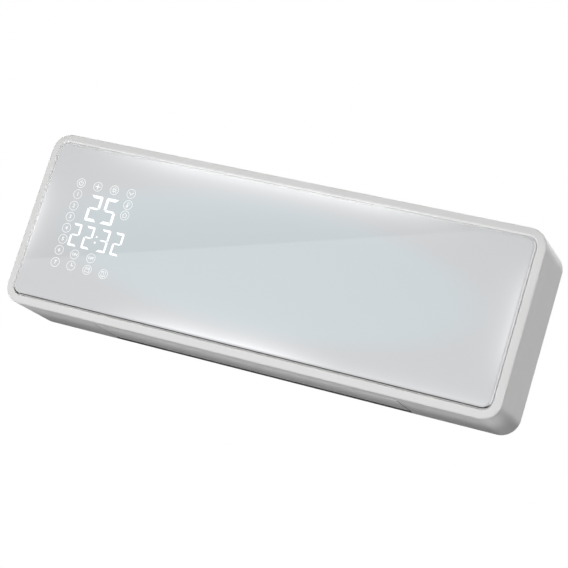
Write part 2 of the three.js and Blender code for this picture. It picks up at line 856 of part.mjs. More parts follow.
// Rear guide of the duct: a spiral round the back of the impeller, opening towards the
// outlet, then a straight wall down to the louver.
function rearGuide() {
  const outside = [];
  const inside = [];
  const steps = 14;
  for (let i = 0; i <= steps; i += 1) {
    const share = i / steps;
    const angle = scrollStart + (scrollEnd - scrollStart) * share;
    const radius = fanRadius + scrollClearance + scrollGrowth * share;
    inside.push(fanPoint(angle, radius));
    outside.unshift(fanPoint(angle, radius + ductWall));
  }
  const floor = louverAxisZ - 4;
  const kneeDrop = 8;
  const [, kneeZ] = inside[inside.length - 1];
  inside.push([ductRearY, kneeZ - kneeDrop]);
  inside.push([ductRearY, floor]);
  outside.unshift([ductRearY + ductWall, kneeZ - kneeDrop - ductWall / 2]);
  outside.unshift([ductRearY + ductWall, floor]);
  add('rear_guide', slabX(polygon([...inside, ...outside]), -ductSpan, ductSpan), 0x54575a, 0.6);
}

// Front wall of the duct with the tongue that parts intake from outlet air.
function frontGuide() {
  const [tipY, tipZ] = fanPoint(tongueStart, fanRadius + tongueClearance);
  const [noseY, noseZ] = fanPoint(tongueEnd, fanRadius + tongueClearance);
  const shape = new THREE.Shape();
  const back = ductFrontY - gap;
  const bend = 24;
  shape.moveTo(back - ductWall, floorInside + gap);
  shape.lineTo(back, floorInside + gap);
  shape.lineTo(back, tipZ - bend);
  shape.quadraticCurveTo(back, tipZ - bend / 3, tipY, tipZ);
  shape.lineTo(noseY, noseZ);
  shape.lineTo(noseY - ductWall, noseZ);
  shape.quadraticCurveTo(back - ductWall, noseZ - bend / 2, back - ductWall, tipZ - bend - ductWall);
  add('front_guide', slabX(shape, -ductSpan, ductSpan, 6), 0x54575a, 0.6);
}

// Side plates of the fan case. Both are bored for the louver pins; the left one holds the
// bearing ring and the right one lets the motor shaft through.
function endPlates() {
  const front = boardBack + 3.3;
  const back = shellBack - 6;
  const trayBack = -wall - 2;
  const heel = 24;
  const slope = 12;
  const bottom = floorInside + gap;
  const top = ceilingInside - cassetteDepth - 3;
  const outline = () => polygon([
    [front, bottom],
    [back, bottom],
    [back, -halfHeight + heel],
    [trayBack, -halfHeight + heel + slope],
    [trayBack, top - slope],
    [back, top],
    [front, top],
  ]);
  const hole = (radius, y, z) => {
    const path = new THREE.Path();
    path.absarc(y, z, radius, 0, 2 * Math.PI, true);
    return path;
  };
  const pinHole = () => hole(louverPinRadius + gap, louverAxisY, louverAxisZ);
  const left = outline();
  left.holes.push(pinHole(), hole(bearingNeck + gap, fanY, fanZ));
  add('end_plate_left', slabX(left, -endPlateX - endPlate, -endPlateX, 10), 0x54575a, 0.6);
  const right = outline();
  right.holes.push(pinHole(), hole(motorShaftRadius + 4, fanY, fanZ));
  add('end_plate_right', slabX(right, endPlateX, endPlateX + endPlate, 10), 0x54575a, 0.6);
}

// Finger guard across the duct above the louver.
function outletGuard() {
  const front = ductFrontY + gap;
  const back = ductRearY - gap;
  const rim = 2.4;
  const plate = box(-ductSpan, ductSpan, front, back, guardZ, guardZ + guardHeight);
  const slots = [];
  const count = Math.floor((2 * ductSpan - rim) / guardPitch);
  const start = -(count * guardPitch) / 2;
  for (let i = 0; i < count; i += 1) {
    const x0 = start + i * guardPitch + guardBar / 2;
    const x1 = x0 + guardPitch - guardBar;
    slots.push(box(x0, x1, front + rim, back - rim, guardZ - past, guardZ + guardHeight + past));
  }
  add('outlet_guard', carved(solid(plate), slots), 0x2d2e30, 0.6);
}

// Folded aluminium fins: a zigzag strip seen from above.
function finStrip(y0, y1) {
  const folds = Math.floor(heaterLength / finPitch);
  const length = folds * finPitch;
  const near = [];
  const far = [];
  for (let i = 0; i <= 2 * folds; i += 1) {
    const x = -length / 2 + (i * finPitch) / 2;
    const high = i % 2 === 1;
    const y = high ? y1 - finSheet : y0;
    near.push([x, y]);
    far.unshift([x, y + finSheet]);
  }
  return slabZ(polygon([...near, ...far]), heaterZ - heaterHeight / 2, heaterZ + heaterHeight / 2);
}

// Ceramic heating element: fin rows between flat tubes, in a heat-proof frame.
function heater() {
  const front = ductFrontY + gap;
  const back = ductRearY - gap;
  const inner0 = front + heaterFrameWall + gap;
  const inner1 = back - heaterFrameWall - gap;
  const tubes = finRows - 1;
  const finHeight = (inner1 - inner0 - tubes * tubeThickness - 2 * tubes * gap) / finRows;
  const z0 = heaterZ - heaterHeight / 2;
  const z1 = heaterZ + heaterHeight / 2;
  const fins = [];
  const tubeParts = [];
  const tabs = [];
  const end = heaterLength / 2;
  const tubeEnd = end + 3;
  const tabLength = 12;
  const tabHalfHeight = 3.2;
  const frameEnd = 3;
  const fuseSide = 9;
  for (let i = 0; i < finRows; i += 1) {
    const y0 = inner0 + i * (finHeight + tubeThickness + 2 * gap);
    fins.push(finStrip(y0, y0 + finHeight));
    if (i < tubes) {
      const tabY = y0 + finHeight + gap + tubeThickness / 2;
      tubeParts.push(slabX(roundedRect(tubeThickness, heaterHeight - 2, 1.2, tabY, heaterZ),
        -tubeEnd, tubeEnd, 3));
      tabs.push(box(tubeEnd + gap, tubeEnd + tabLength, tabY - heaterTab / 2, tabY + heaterTab / 2,
        heaterZ - tabHalfHeight, heaterZ + tabHalfHeight));
    }
  }
  addEach('heater_fins', fins, aluminium, 0.35, 0.9);
  addEach('heater_tube', tubeParts, 0xa9abad, 0.45, 0.8);
  addEach('heater_terminal', tabs, 0xc9a75b, 0.35, 1);

  const outer = box(-ductSpan, ductSpan, front, back, z0 - heaterRim, z1 + heaterRim);
  const low = z0 - heaterRim - past;
  const high = z1 + heaterRim + past;
  const window = box(-end - past, end + past, inner0 - gap, inner1 + gap, low, high);
  const pockets = [];
  for (let i = 0; i < tubes; i += 1) {
    const tube = inner0 + finHeight + gap + i * (finHeight + tubeThickness + 2 * gap);
    const tabY = tube + tubeThickness / 2;
    pockets.push(box(-tubeEnd - gap, tubeEnd + gap, tube - gap, tube + tubeThickness + gap,
      z0 + 1 - gap, z1 - 1 + gap));
    pockets.push(box(tubeEnd - past, ductSpan + past, tabY - heaterTab - gap, tabY + heaterTab + gap,
      heaterZ - tabHalfHeight - heaterTab, heaterZ + tabHalfHeight + heaterTab));
  }
  const lightening = [
    box(-ductSpan + frameEnd, -tubeEnd - frameEnd, front + frameEnd, back - frameEnd, low,
      z1 - frameEnd),
    box(tubeEnd + frameEnd, ductSpan - frameEnd, front + frameEnd, back - frameEnd, low,
      z1 - fuseSide),
  ];
  add('heater_frame', carved(solid(outer), [window, ...pockets, ...lightening]), 0xd8cfb8, 0.7);
}

// Self-resetting cut-out clipped on the heater frame, and the one-shot fuse beside it.
function thermalGuards() {
  const seat = heaterZ + heaterHeight / 2 + heaterRim + gap;
  const x = heaterLength / 2 + 8;
  const middle = (ductFrontY + ductRearY) / 2;
  const y = middle + 10;
  const height = 6;
  const body = rodZ(7, seat, seat + height, x, y, 18);
  const flange = slabZ(roundedRect(15.5, 7, 3, x, y), seat, seat + 1.2, 3);
  const legs = [-3, 3].map((side) => box(x - 0.4, x + 0.4, y + side - 1.6, y + side + 1.6,
    seat + height - past, seat + height + 5));
  add('thermal_cutout', joined([body, flange, ...legs]), 0x9c8f79, 0.5, 0.3);
  const fuseY = middle - 14;
  const fuse = rodX(2.4, x - 8, x + 8, fuseY, seat + 2.8, 12);
  const clip = box(x - 3, x + 3, fuseY - 3, fuseY + 3, seat, seat + 1);
  add('thermal_fuse', joined([fuse, clip]), 0xb9b2a4, 0.4, 0.3);
}

// Outlet louver: a thin flap whose rear edge curls round the hinge line, with hinge bosses,
// two short pins and stiffening ribs on its inner face.
function louver() {
  const front = outletFront + runningGap;
  const halfSpan = outletWidth / 2 - runningGap;
  const inner = louverRadius - louverThickness;
  const base = -halfHeight;
  const chamfer = 0.6;
  const plate = new THREE.Shape();
  plate.moveTo(front, base + chamfer);
  plate.lineTo(front + chamfer, base);
  plate.absarc(louverAxisY, louverAxisZ, louverRadius, -Math.PI / 2, 0);
  plate.absarc(louverAxisY, louverAxisZ, inner, 0, -Math.PI / 2, true);
  plate.lineTo(front, base + louverThickness);
  const curlSpan = halfSpan - louverHookInset;
  const curlStart = 4;
  const body = solid(slabX(plate, -halfSpan, halfSpan, 7));
  const corners = [-1, 1].map((side) => box(
    Math.min(side * curlSpan, side * (halfSpan + past)),
    Math.max(side * curlSpan, side * (halfSpan + past)),
    louverAxisY + curlStart, louverAxisY + louverRadius + past, base - past, louverAxisZ + past,
  ));
  const parts = [];
  const ribRoom = 12;
  const ribStart = 4;
  const ribSlope = 6;
  for (let i = 0; i < louverRibCount; i += 1) {
    const x = (i / (louverRibCount - 1) - 0.5) * 2 * (curlSpan - ribRoom);
    const rib = polygon([
      [front + ribStart, base + louverThickness - sink],
      [louverAxisY + 2, base + louverThickness - sink],
      [louverAxisY + 1, base + louverThickness + louverRibHeight],
      [front + ribStart + ribSlope, base + louverThickness + louverRibHeight],
    ]);
    parts.push(slabX(rib, x - louverRibThickness / 2, x + louverRibThickness / 2));
  }
  for (const side of [-1, 1]) {
    const boss = new THREE.Shape();
    boss.moveTo(louverAxisY - louverBossRadius - 3, base + 1);
    boss.lineTo(louverAxisY + louverBossRadius, base + 1.2);
    boss.lineTo(louverAxisY + louverBossRadius, louverAxisZ);
    boss.absarc(louverAxisY, louverAxisZ, louverBossRadius, 0, Math.PI);
    const x0 = side * (halfSpan - louverBossLength);
    const x1 = side * halfSpan;
    parts.push(slabX(boss, Math.min(x0, x1), Math.max(x0, x1), 8));
  }
  const pinEnd = endPlateX + endPlate + 2;
  const rightPin = rodX(louverPinRadius, halfSpan - past, pinEnd, louverAxisY, louverAxisZ, 16);
  const socketEnd = -halfSpan + louverBossLength - 0.8;
  const socket = rodX(louverSocketRadius, -halfSpan - past, socketEnd, louverAxisY, louverAxisZ, 16);
  const flap = carved(body, corners).add(joined([...parts, rightPin])).subtract(solid(socket));
  add('louver', flap, white, 0.35);
  const shaft = rodX(louverSocketRadius - gap, -endPlateX - endPlate - 1.5, socketEnd - gap,
    louverAxisY, louverAxisZ, 12);
  add('louver_drive_shaft', shaft, steel, 0.3, 1);
}

// Small geared motor behind the left end plate, its output shaft off centre.
function louverMotor() {
  const x1 = -endPlateX - endPlate - gap;
  const radius = 9.5;
  const offset = 4.6;
  const z = louverAxisZ + offset;
  const can = rodX(radius, x1 - 15, x1, louverAxisY, z, 18);
  const ears = slabX(roundedRect(28, 6, 2.9, louverAxisY, z + 2), x1 - 1.2, x1, 4);
  const cap = box(x1 - 14, x1 - 4, louverAxisY - 12.5, louverAxisY - 6, z - 4, z + 7);
  const bore = rodX(louverSocketRadius, x1 - 4, x1 + past, louverAxisY, louverAxisZ, 12);
  add('louver_motor', carved(joined([can, ears, cap]), [bore]), 0xb4b6b8, 0.35, 0.7);
}

// Lift-out filter cassette: slotted intake lid, deep frame below it and the mesh.
function filterCassette() {
  const x0 = -intakeWidth / 2 + runningGap;
  const x1 = -x0;
  const y0 = intakeFront + runningGap;
  const y1 = intakeBack - runningGap;
  const slots = [];
  const pitch = intakeBar + intakeSlot;
  const count = Math.floor((x1 - x0 - 2 * intakeBorder) / pitch);
  const start = -(count * pitch) / 2;
  for (let i = 0; i < count; i += 1) {
    const left = start + i * pitch + intakeBar / 2;
    slots.push(box(left, left + intakeSlot, y0 + intakeBorder, y1 - intakeBorder,
      ceilingInside - past, halfHeight + past));
  }
  const lid = solid(box(x0, x1, y0, y1, ceilingInside, halfHeight));
  add('intake_grille', carved(lid, slots), white, 0.4);

  const top = ceilingInside - gap;
  const bottom = halfHeight - cassetteDepth;
  const frameLeft = x0 + filterFrameInset;
  const frameFront = y0 + filterFrameInset;
  const frameBack = y1 - filterFrameInset;
  const frame = solid(box(frameLeft, -frameLeft, frameFront, frameBack, bottom, top));
  const bays = [];
  const bay = (-2 * frameLeft - filterFrameWall) / filterBays;
  for (let i = 0; i < filterBays; i += 1) {
    const left = frameLeft + filterFrameWall + i * bay;
    bays.push(box(left, left + bay - filterFrameWall, frameFront + filterFrameWall,
      frameBack - filterFrameWall, bottom - past, top + past));
  }
  add('filter_frame', carved(frame, bays), 0x3b3e41, 0.6);

  const meshTop = bottom - gap;
  const meshLeft = frameLeft + past;
  const meshFront = frameFront + past;
  const meshBack = frameBack - past;
  const sheet = solid(box(meshLeft, -meshLeft, meshFront, meshBack, meshTop - filterThread,
    meshTop));
  const openings = [];
  const border = 1;
  const span = -2 * (meshLeft + border);
  const cells = Math.round(span / filterThreadPitch);
  const middle = (y0 + y1) / 2;
  const half = filterThread / 2;
  const rows = [[meshFront + border, middle - half], [middle + half, meshBack - border]];
  for (let i = 0; i < cells; i += 1) {
    const left = meshLeft + border + (span / cells) * i;
    for (const [near, far] of rows) {
      openings.push(box(left, left + span / cells - filterThread, near, far,
        meshTop - filterThread - past, meshTop + past));
    }
  }
  add('filter_mesh', carved(sheet, openings), 0x202224, 0.9);
}

// Mains board behind the left end of the front, standing on the rear cover's pillars.
function powerBoard() {
  const plate = slabY(roundedRect(mainsWidth, mainsHeight, 2, mainsX, 0), mainsFront, mainsBack, 2);
  const foot = mainsFront + 0.2;
  const low = -mainsHeight / 2;
  const high = mainsHeight / 2;
  const capacitor = rodY(6, mainsFront - 19, foot, mainsX + 20, low + 22, 16);
  const varistor = box(mainsX - 24, mainsX - 14, mainsFront - 13, foot, high - 18, high - 4);
  const choke = box(mainsX - 4, mainsX + 8, mainsFront - 17, foot, low + 6, low + 12);
  const holes = pillarPlaces().map(([x, z]) => rodY(pillarPin + gap, mainsFront - past,
    mainsBack + past, x, z, 8));
  add('power_board', carved(joined([plate, capacitor, varistor, choke]), holes), boardGreen, 0.5);
}

// Parts that stand on the mains board, each on its own seat.
function boardParts() {
  const seat = mainsFront - gap;
  const relayX = mainsX - 16;
  const relays = [-14, 10].map((z) => {
    const cover = slabY(roundedRect(15.6, 19, 1, relayX, z), seat - 15.5, seat, 2);
    const notch = box(relayX - 9, relayX + 9, seat - 16, seat - 14.8, z - 2, z + 2);
    return carved(solid(cover), [notch]);
  });
  addEach('relay', relays, 0x20242c, 0.5);

  const coilX = mainsX + 12;
  const coilZ = -mainsHeight / 10;
  const core = box(coilX - 14, coilX + 14, seat - 16, seat - 4, coilZ - 12, coilZ + 12);
  const coil = slabY(roundedRect(20, 16, 3, coilX, coilZ), seat - 21, seat, 3);
  add('transformer', joined([core, coil]), 0xd0b25c, 0.5);

  const blockX = mainsX + 4;
  const blockHeight = 13;
  const blockZ = mainsHeight / 2 - 11;
  const block = slabY(roundedRect(30, blockHeight, 1, blockX, blockZ), seat - 15, seat, 2);
  const wells = [-10, 0, 10].map((x) => rodY(3, seat - 16, seat - 6, blockX + x, blockZ, 12));
  add('terminal_block', carved(solid(block), wells), 0xe9e9e4, 0.5);

  const sinkX = mainsX + 2;
  const finPlace = 6.6;
  const finThickness = 2.2;
  const sinkFoot = coilZ + 26;
  const sinkTop = blockZ - blockHeight / 2 - 4;
  const base = box(sinkX, sinkX + 3 * finPlace + finThickness, seat - 2.5, seat, sinkFoot, sinkTop);
  const fins = [0, 1, 2, 3].map((i) => (
    box(sinkX + i * finPlace, sinkX + i * finPlace + finThickness, seat - 16, seat - 2, sinkFoot,
      sinkTop)
  ));
  add('heat_sink', joined([base, ...fins]), aluminium, 0.4, 0.9);
}

// Bead sensor on a clip under the top wall, away from the heated air.
function roomSensor() {
  const x = endPlateX + endPlate + 40;
  const y = -60;
  const top = ceilingInside - gap;
  const drop = 17;
  const clip = box(x - 5, x + 5, y - 4, y + 4, top - 2, top);
  const stem = rodZ(1.4, top - drop + 1, top - 1.5, x, y, 10);
  const bead = new THREE.SphereGeometry(2.6, 12, 8).translate(x, y, top - drop);
  add('room_sensor', joined([clip, stem, bead]), 0x232323, 0.4);
}

// Infrared receiver for the remote control, beside the display on a small foot.
function receiver() {
  const x = displayX - displayWidth / 2 - 12;
  const front = frontInsideY + gap;
  const lensY = front + 5;
  const half = 3.6;
  const dome = new THREE.SphereGeometry(3, 14, 8).translate(x, lensY, 0);
  const body = box(x - half, x + half, lensY, lensY + 4, -4, 4);
  const foot = box(x - 5, x + 5, lensY + 3, lensY + 4.6, -9, 9);
  const legs = [-8, 8].map((z) => box(x - 2, x + 2, front, lensY + 3.5, z - 1, z + 1));
  add('remote_receiver', joined([dome, body, foot, ...legs]), 0x2a1416, 0.3);
}

// Mains rocker switch, flush in the recess of the left side wall.
function mainsSwitch() {
  const face = -halfWidth + 0.2;
  const seat = -halfWidth + switchRecess - gap;
  const back = face + switchDepth;
  const bodyY = switchHeight / 2 - switchLedge - gap;
  const bodyZ = switchWidth / 2 - switchLedge - gap;
  const keyY = rockerLength / 2;
  const cavityY = keyY + 1.5;
  const cavityZ = bodyZ - 1.3;
  const flange = box(face, seat, switchY - switchHeight / 2, switchY + switchHeight / 2,
    switchZ - switchWidth / 2, switchZ + switchWidth / 2);
  const body = box(seat - sink, back, switchY - bodyY, switchY + bodyY, switchZ - bodyZ,
    switchZ + bodyZ);
  const cavity = box(face - past, back - 4, switchY - cavityY, switchY + cavityY,
    switchZ - cavityZ, switchZ + cavityZ);
  const tab = { pitch: 6, length: 8, half: 3, thickness: 0.8 };
  const terminals = [-tab.pitch, 0, tab.pitch].map((y) => box(back - sink, back + tab.length,
    switchY + y - tab.thickness / 2, switchY + y + tab.thickness / 2, switchZ - tab.half,
    switchZ + tab.half));
  add('switch_body', carved(joined([flange, body, ...terminals]), [cavity]), darkPlastic, 0.5);

  const footHalf = 3.4;
  const key = polygon([
    [-keyY, rockerProud],
    [0, rockerProud - 1],
    [keyY, rockerProud],
    [keyY - 0.4, 1.5],
    [footHalf, -3],
    [-footHalf, -3],
    [-keyY + 0.4, 1.5],
  ]);
  const length = 2 * (cavityZ - gap);
  const geometry = new THREE.ExtrudeGeometry(key, { depth: length, bevelEnabled: false });
  geometry.translate(0, 0, -length / 2);
  geometry.rotateZ(Math.PI / 2 + THREE.MathUtils.degToRad(rockerTilt));
  geometry.translate(face + rockerPivotDepth, switchY, switchZ);
  add('switch_key', geometry, 0x1b1c1e, 0.35);
}

// Rubber bush in the rear cover's lower edge, open for the mains lead. A groove round it
// takes the edge of the cover.
function cordGland() {
  const neck = glandRadius - glandGroove;
  const flange = 1.1;
  const profile = [
    [glandBore, 0],
    [glandRadius, 0],
    [glandRadius, flange],
    [neck, flange + 0.2],
    [neck, glandLength - 3.4],
    [glandRadius, glandLength - 3.2],
    [glandRadius - 0.8, glandLength],
    [glandBore, glandLength],
    [glandBore, 0],
  ].map(([radius, up]) => new THREE.Vector2(radius, up));
  const gland = new THREE.LatheGeometry(profile, 14).rotateX(Math.PI / 2);
  add('cord_gland', gland.translate(glandX, glandY, glandFoot), 0x1d1d1e, 0.85);
}

// Pressed steel wall bracket: slotted plate with two hooks the rear cover hangs on.
function wallBracket() {
  const slotRadius = 2.6;
  const slotTop = bracketZ - 8;
  const slotFoot = bracketZ - 13;
  const shape = roundedRect(bracketWidth, bracketHeight, 4, 0, bracketZ);
  for (const x of [-100, -38, 38, 100]) {
    const hole = new THREE.Path();
    hole.absarc(x, slotTop, slotRadius, 0, Math.PI);
    hole.lineTo(x - slotRadius, slotFoot);
    hole.absarc(x, slotFoot, slotRadius, Math.PI, 2 * Math.PI);
    shape.holes.push(new THREE.Path(hole.getPoints(3).reverse()));
  }
  const plate = slabY(shape, -bracketSheet, 0, 4);
  const hooks = [];
  const armTop = bracketZ + hookRise - gap;
  const reach = -bracketRecess - bracketBacking - gap - bracketSheet;
  for (const x of [-hookX, hookX]) {
    hooks.push(box(x - hookHalf, x + hookHalf, reach, -bracketSheet + 0.2, armTop - bracketSheet,
      armTop));
    hooks.push(box(x - hookHalf, x + hookHalf, reach, reach + bracketSheet, armTop - bracketSheet,
      armTop + hookHalf / 2));
  }
  add('wall_bracket', joined([plate, ...hooks]), 0xaeb2b6, 0.45, 0.85);
}

frontHousing();
rearCover();
housingScrews();
glassPanel();
panelGasket();
displayDiffuser();
displayBoard();
touchSprings();
impeller();
fanShafts();
endBearing();
fanMotor();
motorRings();
motorCradle();
rearGuide();
frontGuide();
endPlates();
outletGuard();
heater();
thermalGuards();
louver();
louverMotor();
filterCassette();
powerBoard();
boardParts();
roomSensor();
receiver();
mainsSwitch();
cordGland();
wallBracket();

export default group;
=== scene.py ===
import math
from functools import partialmethod, reduce

import bmesh
import bpy
from bpy.props import FloatProperty, FloatVectorProperty, PointerProperty
from mathutils import Matrix, Vector


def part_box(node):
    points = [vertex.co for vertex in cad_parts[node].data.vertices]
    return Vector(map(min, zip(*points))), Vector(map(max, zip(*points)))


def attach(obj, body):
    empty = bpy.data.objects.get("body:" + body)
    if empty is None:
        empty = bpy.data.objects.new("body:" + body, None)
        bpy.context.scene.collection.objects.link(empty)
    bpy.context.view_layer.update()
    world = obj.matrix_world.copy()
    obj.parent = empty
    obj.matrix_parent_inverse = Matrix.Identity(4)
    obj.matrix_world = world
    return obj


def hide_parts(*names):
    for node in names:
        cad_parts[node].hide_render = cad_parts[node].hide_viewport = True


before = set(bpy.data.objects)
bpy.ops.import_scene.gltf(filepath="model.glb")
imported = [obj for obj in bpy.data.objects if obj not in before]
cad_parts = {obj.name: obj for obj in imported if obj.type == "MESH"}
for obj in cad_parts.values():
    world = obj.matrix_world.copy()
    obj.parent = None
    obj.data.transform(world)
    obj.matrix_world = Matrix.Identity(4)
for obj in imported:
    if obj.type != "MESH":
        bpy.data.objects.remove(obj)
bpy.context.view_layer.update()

bl_info = {
    "name": "Wall fan heater",
    "version": (1, 0, 0),
    "blender": (4, 5, 0),
    "location": "View3D > Sidebar > Fan heater",
    "description": "Models and finishes a wall-hung ceramic fan heater round its frame",
    "category": "Object",
}

MM = 0.001


def solid_box(node):
    """Two opposite corners of a frame solid, in millimetres."""
    return [Vector(corner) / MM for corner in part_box(node)]


SHELL = solid_box("front_housing")
GLASS = solid_box("glass_panel")

# Front shell, in millimetres, with the slope of its rim in degrees.
WALL = 2.5
RIM_WIDTH = 9.05
RIM_SLOPE = 14.25
POCKET_FLOOR_Y = -96.4
FLOOR_BACK_Y = -94.2
POST_X = 248.0
POST_Z = 70.0
POST_RADIUS = 4.6

# Openings below and on top, each as its limits in x and y, and how far their cutters reach.
OUTLET = (-167.5, 167.5, -81.5, -21.4)
INTAKE = (-165.5, 165.5, -84.5, -29.5)
CUT_OUTSIDE = 5.0
CUT_INSIDE = 6.0

# Mains switch on the left face. Each block: reach outside, reach inside, two half sizes, corner.
SWITCH_Y = -46.0
SWITCH_Z = -44.0
SWITCH_SEAT = (3.0, 4.4, 17.5, 13.5, 2.0)
SWITCH_RECESS = (5.0, 2.4, 14.5, 10.5, 1.4)
SWITCH_HOLE = (5.0, 8.0, 10.5, 6.5, 0.0)

# Glass front: how much smaller it is than its solid on each side, and the radius behind.
GLASS_FIT = 0.25
GLASS_BACK_RADIUS = 0.4

# Intake lid, dust net and sheet of the heating fins.
LID_CORNER = 0.8
LID_MARGIN = 5.0
LID_BAR = 3.6
SLOT_CORNER = 2.4
NET_START = 0.2
THREAD_HALF = 0.15
NET_HALF = 0.3
NET_OVERLAP = 0.02
FIN_SHEET = 0.16


# ---------- modelling helpers

CORNER_STEPS = 14
SMOOTH_ANGLE = 32
EASED_ANGLE = 38


def deselect():
    """Back to object mode with nothing selected."""
    if bpy.context.mode != "OBJECT":
        bpy.ops.object.mode_set(mode="OBJECT")
    bpy.ops.object.select_all(action="DESELECT")


def activate(piece):
    deselect()
    piece.select_set(True)
    bpy.context.view_layer.objects.active = piece


def adjust(item, **values):
    """Sets several attributes of an item."""
    for name, value in values.items():
        setattr(item, name, value)


def stand(name, data):
    """Puts a mesh, a lamp or a camera into the scene."""
    item = bpy.data.objects.new(name, data)
    bpy.context.scene.collection.objects.link(item)
    return item


def from_bmesh(name, mesh):
    """Piece made of a mesh that was built point by point."""
    data = bpy.data.meshes.new(name)
    mesh.to_mesh(data)
    mesh.free()
    return stand(name, data)


def settle(piece, name):
    """Puts the place of a new primitive into its mesh and names it."""
    activate(piece)
    bpy.ops.object.transform_apply(location=True, rotation=True, scale=True)
    piece.name = name
    piece.data.name = name
    return piece


def block(name, x0, x1, y0, y1, z0, z1):
    """Cuboid between two corners."""
    deselect()
    bpy.ops.mesh.primitive_cube_add(
        size=1,
        location=((x0 + x1) / 2 * MM, (y0 + y1) / 2 * MM, (z0 + z1) / 2 * MM),
        scale=((x1 - x0) * MM, (y1 - y0) * MM, (z1 - z0) * MM),
    )
    return settle(bpy.context.object, name)


def rod(name, radius, start, end, sides):
    """Cylinder between two points."""
    start = Vector(start) * MM
    end = Vector(end) * MM
    axis = end - start
    deselect()
    bpy.ops.mesh.primitive_cylinder_add(
        vertices=sides,
        radius=radius * MM,
        depth=axis.length,
        location=(start + end) / 2,
        rotation=axis.to_track_quat("Z", "Y").to_euler(),
    )
    return settle(bpy.context.object, name)


def round_edges(piece, axis, radius, segments):
    """Rounds the edges that run parallel to an axis."""
    activate(piece)
    bpy.ops.object.mode_set(mode="EDIT")
    bpy.ops.mesh.select_mode(type="EDGE")
    bpy.ops.mesh.select_all(action="DESELECT")
    mesh = bmesh.from_edit_mesh(piece.data)
    for edge in mesh.edges:
        run = (edge.verts[1].co - edge.verts[0].co) / MM
        if abs(run[axis]) > 1e-3 and all(abs(run[i]) < 1e-3 for i in range(3) if i != axis):
            edge.select = True
    bmesh.update_edit_mesh(piece.data)
    bpy.ops.mesh.bevel(offset=radius * MM, offset_type="OFFSET", segments=segments, profile=0.5)
    deselect()


def rounded_block(name, x0, x1, y0, y1, z0, z1, corner, axis=1, segments=12):
    """Cuboid whose four edges along one axis are rounded."""
    piece = block(name, x0, x1, y0, y1, z0, z1)
    round_edges(piece, axis, corner, segments)
    return piece


def arc(y, inset, radius, start, end, segments):
    """Depths and insets along an edge rounded about a centre, in degrees from facing forward."""
    turns = [math.radians(start + (end - start) * i / segments) for i in range(segments + 1)]
    return [(y - radius * math.cos(turn), inset - radius * math.sin(turn)) for turn in turns]


def layered(name, x0, x1, z0, z1, corner, stations):
    """Solid through rounded rectangles, each at its own depth and set in from the outline."""
    mesh = bmesh.new()
    corners = ((x1, z1, 1, 1), (x0, z1, -1, 1), (x0, z0, -1, -1), (x1, z0, 1, -1))
    rings = []
    for y, inset in stations:
        radius = corner - inset
        ring = []
        for turn, (x, z, side_x, side_z) in enumerate(corners):
            for i in range(CORNER_STEPS + 1):
                angle = math.pi / 2 * (turn + i / CORNER_STEPS)
                ring.append(mesh.verts.new((
                    (x - side_x * (inset + radius) + radius * math.cos(angle)) * MM,
                    y * MM,
                    (z - side_z * (inset + radius) + radius * math.sin(angle)) * MM)))
        rings.append(ring)
    for front, behind in zip(rings, rings[1:]):
        for i in range(len(front)):
            mesh.faces.new((front[i - 1], front[i], behind[i], behind[i - 1]))
    mesh.faces.new(rings[0])
    mesh.faces.new(rings[-1])
    bmesh.ops.recalc_face_normals(mesh, faces=mesh.faces)
    return from_bmesh(name, mesh)


def use_modifier(piece, kind, **settings):
    activate(piece)
    modifier = piece.modifiers.new(kind.lower(), kind)
    adjust(modifier, **settings)
    bpy.ops.object.modifier_apply(modifier=modifier.name)


def combine(piece, tool, operation):
    """Cuts the tool out of the piece, or adds it, and removes the tool."""
    use_modifier(piece, "BOOLEAN", object=tool, operation=operation, solver="EXACT")
    mesh = tool.data
    bpy.data.objects.remove(tool)
    bpy.data.meshes.remove(mesh)


def cut(piece, *tools):
    for tool in tools:
        combine(piece, tool, "DIFFERENCE")


def fuse(piece, tool):
    combine(piece, tool, "UNION")


def gather(pieces, name):
    """Several separate shells as one piece."""
    deselect()
    for piece in pieces:
        piece.select_set(True)
    bpy.context.view_layer.objects.active = pieces[0]
    bpy.ops.object.join()
    return settle(bpy.context.object, name)


def clean(piece):
    """Merges doubles, drops loose bits and faces every normal outwards."""
    activate(piece)
    bpy.ops.object.mode_set(mode="EDIT")
    bpy.ops.mesh.select_all(action="SELECT")
    bpy.ops.mesh.remove_doubles(threshold=0.004 * MM)
    bpy.ops.mesh.dissolve_degenerate(threshold=0.002 * MM)
    bpy.ops.mesh.normals_make_consistent(inside=False)
    deselect()


def shade(piece):
    activate(piece)
    bpy.ops.object.shade_smooth_by_angle(angle=math.radians(SMOOTH_ANGLE))
    use_modifier(piece, "WEIGHTED_NORMAL", keep_sharp=True, weight=60)


def ease(piece, width, segments):
    """Small radius on every edge that turns more than a set angle."""
    use_modifier(
        piece, "BEVEL", width=width * MM, segments=segments, limit_method="ANGLE",
        angle_limit=math.radians(EASED_ANGLE), use_clamp_overlap=True, miter_outer="MITER_ARC",
    )


def solid_copy(node, name):
    """A merged copy of a frame solid, to be worked on."""
    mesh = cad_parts[node].data.copy()
    mesh.name = name
    mesh.materials.clear()
    piece = stand(name, mesh)
    activate(piece)
    if mesh.has_custom_normals:
        bpy.ops.mesh.customdata_custom_splitnormals_clear()
    bpy.ops.object.mode_set(mode="EDIT")
    bpy.ops.mesh.select_all(action="SELECT")
    bpy.ops.mesh.remove_doubles(threshold=0.002 * MM)
    bpy.ops.mesh.dissolve_limited(angle_limit=math.radians(0.6))
    deselect()
    return piece


def fit(piece, body, material, nodes=()):
    """Gives a finished piece its material and body, and hides the frame solids it stands in for."""
    piece.data.materials.clear()
    piece.data.materials.append(material)
    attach(piece, body)
    if nodes:
        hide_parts(*nodes)


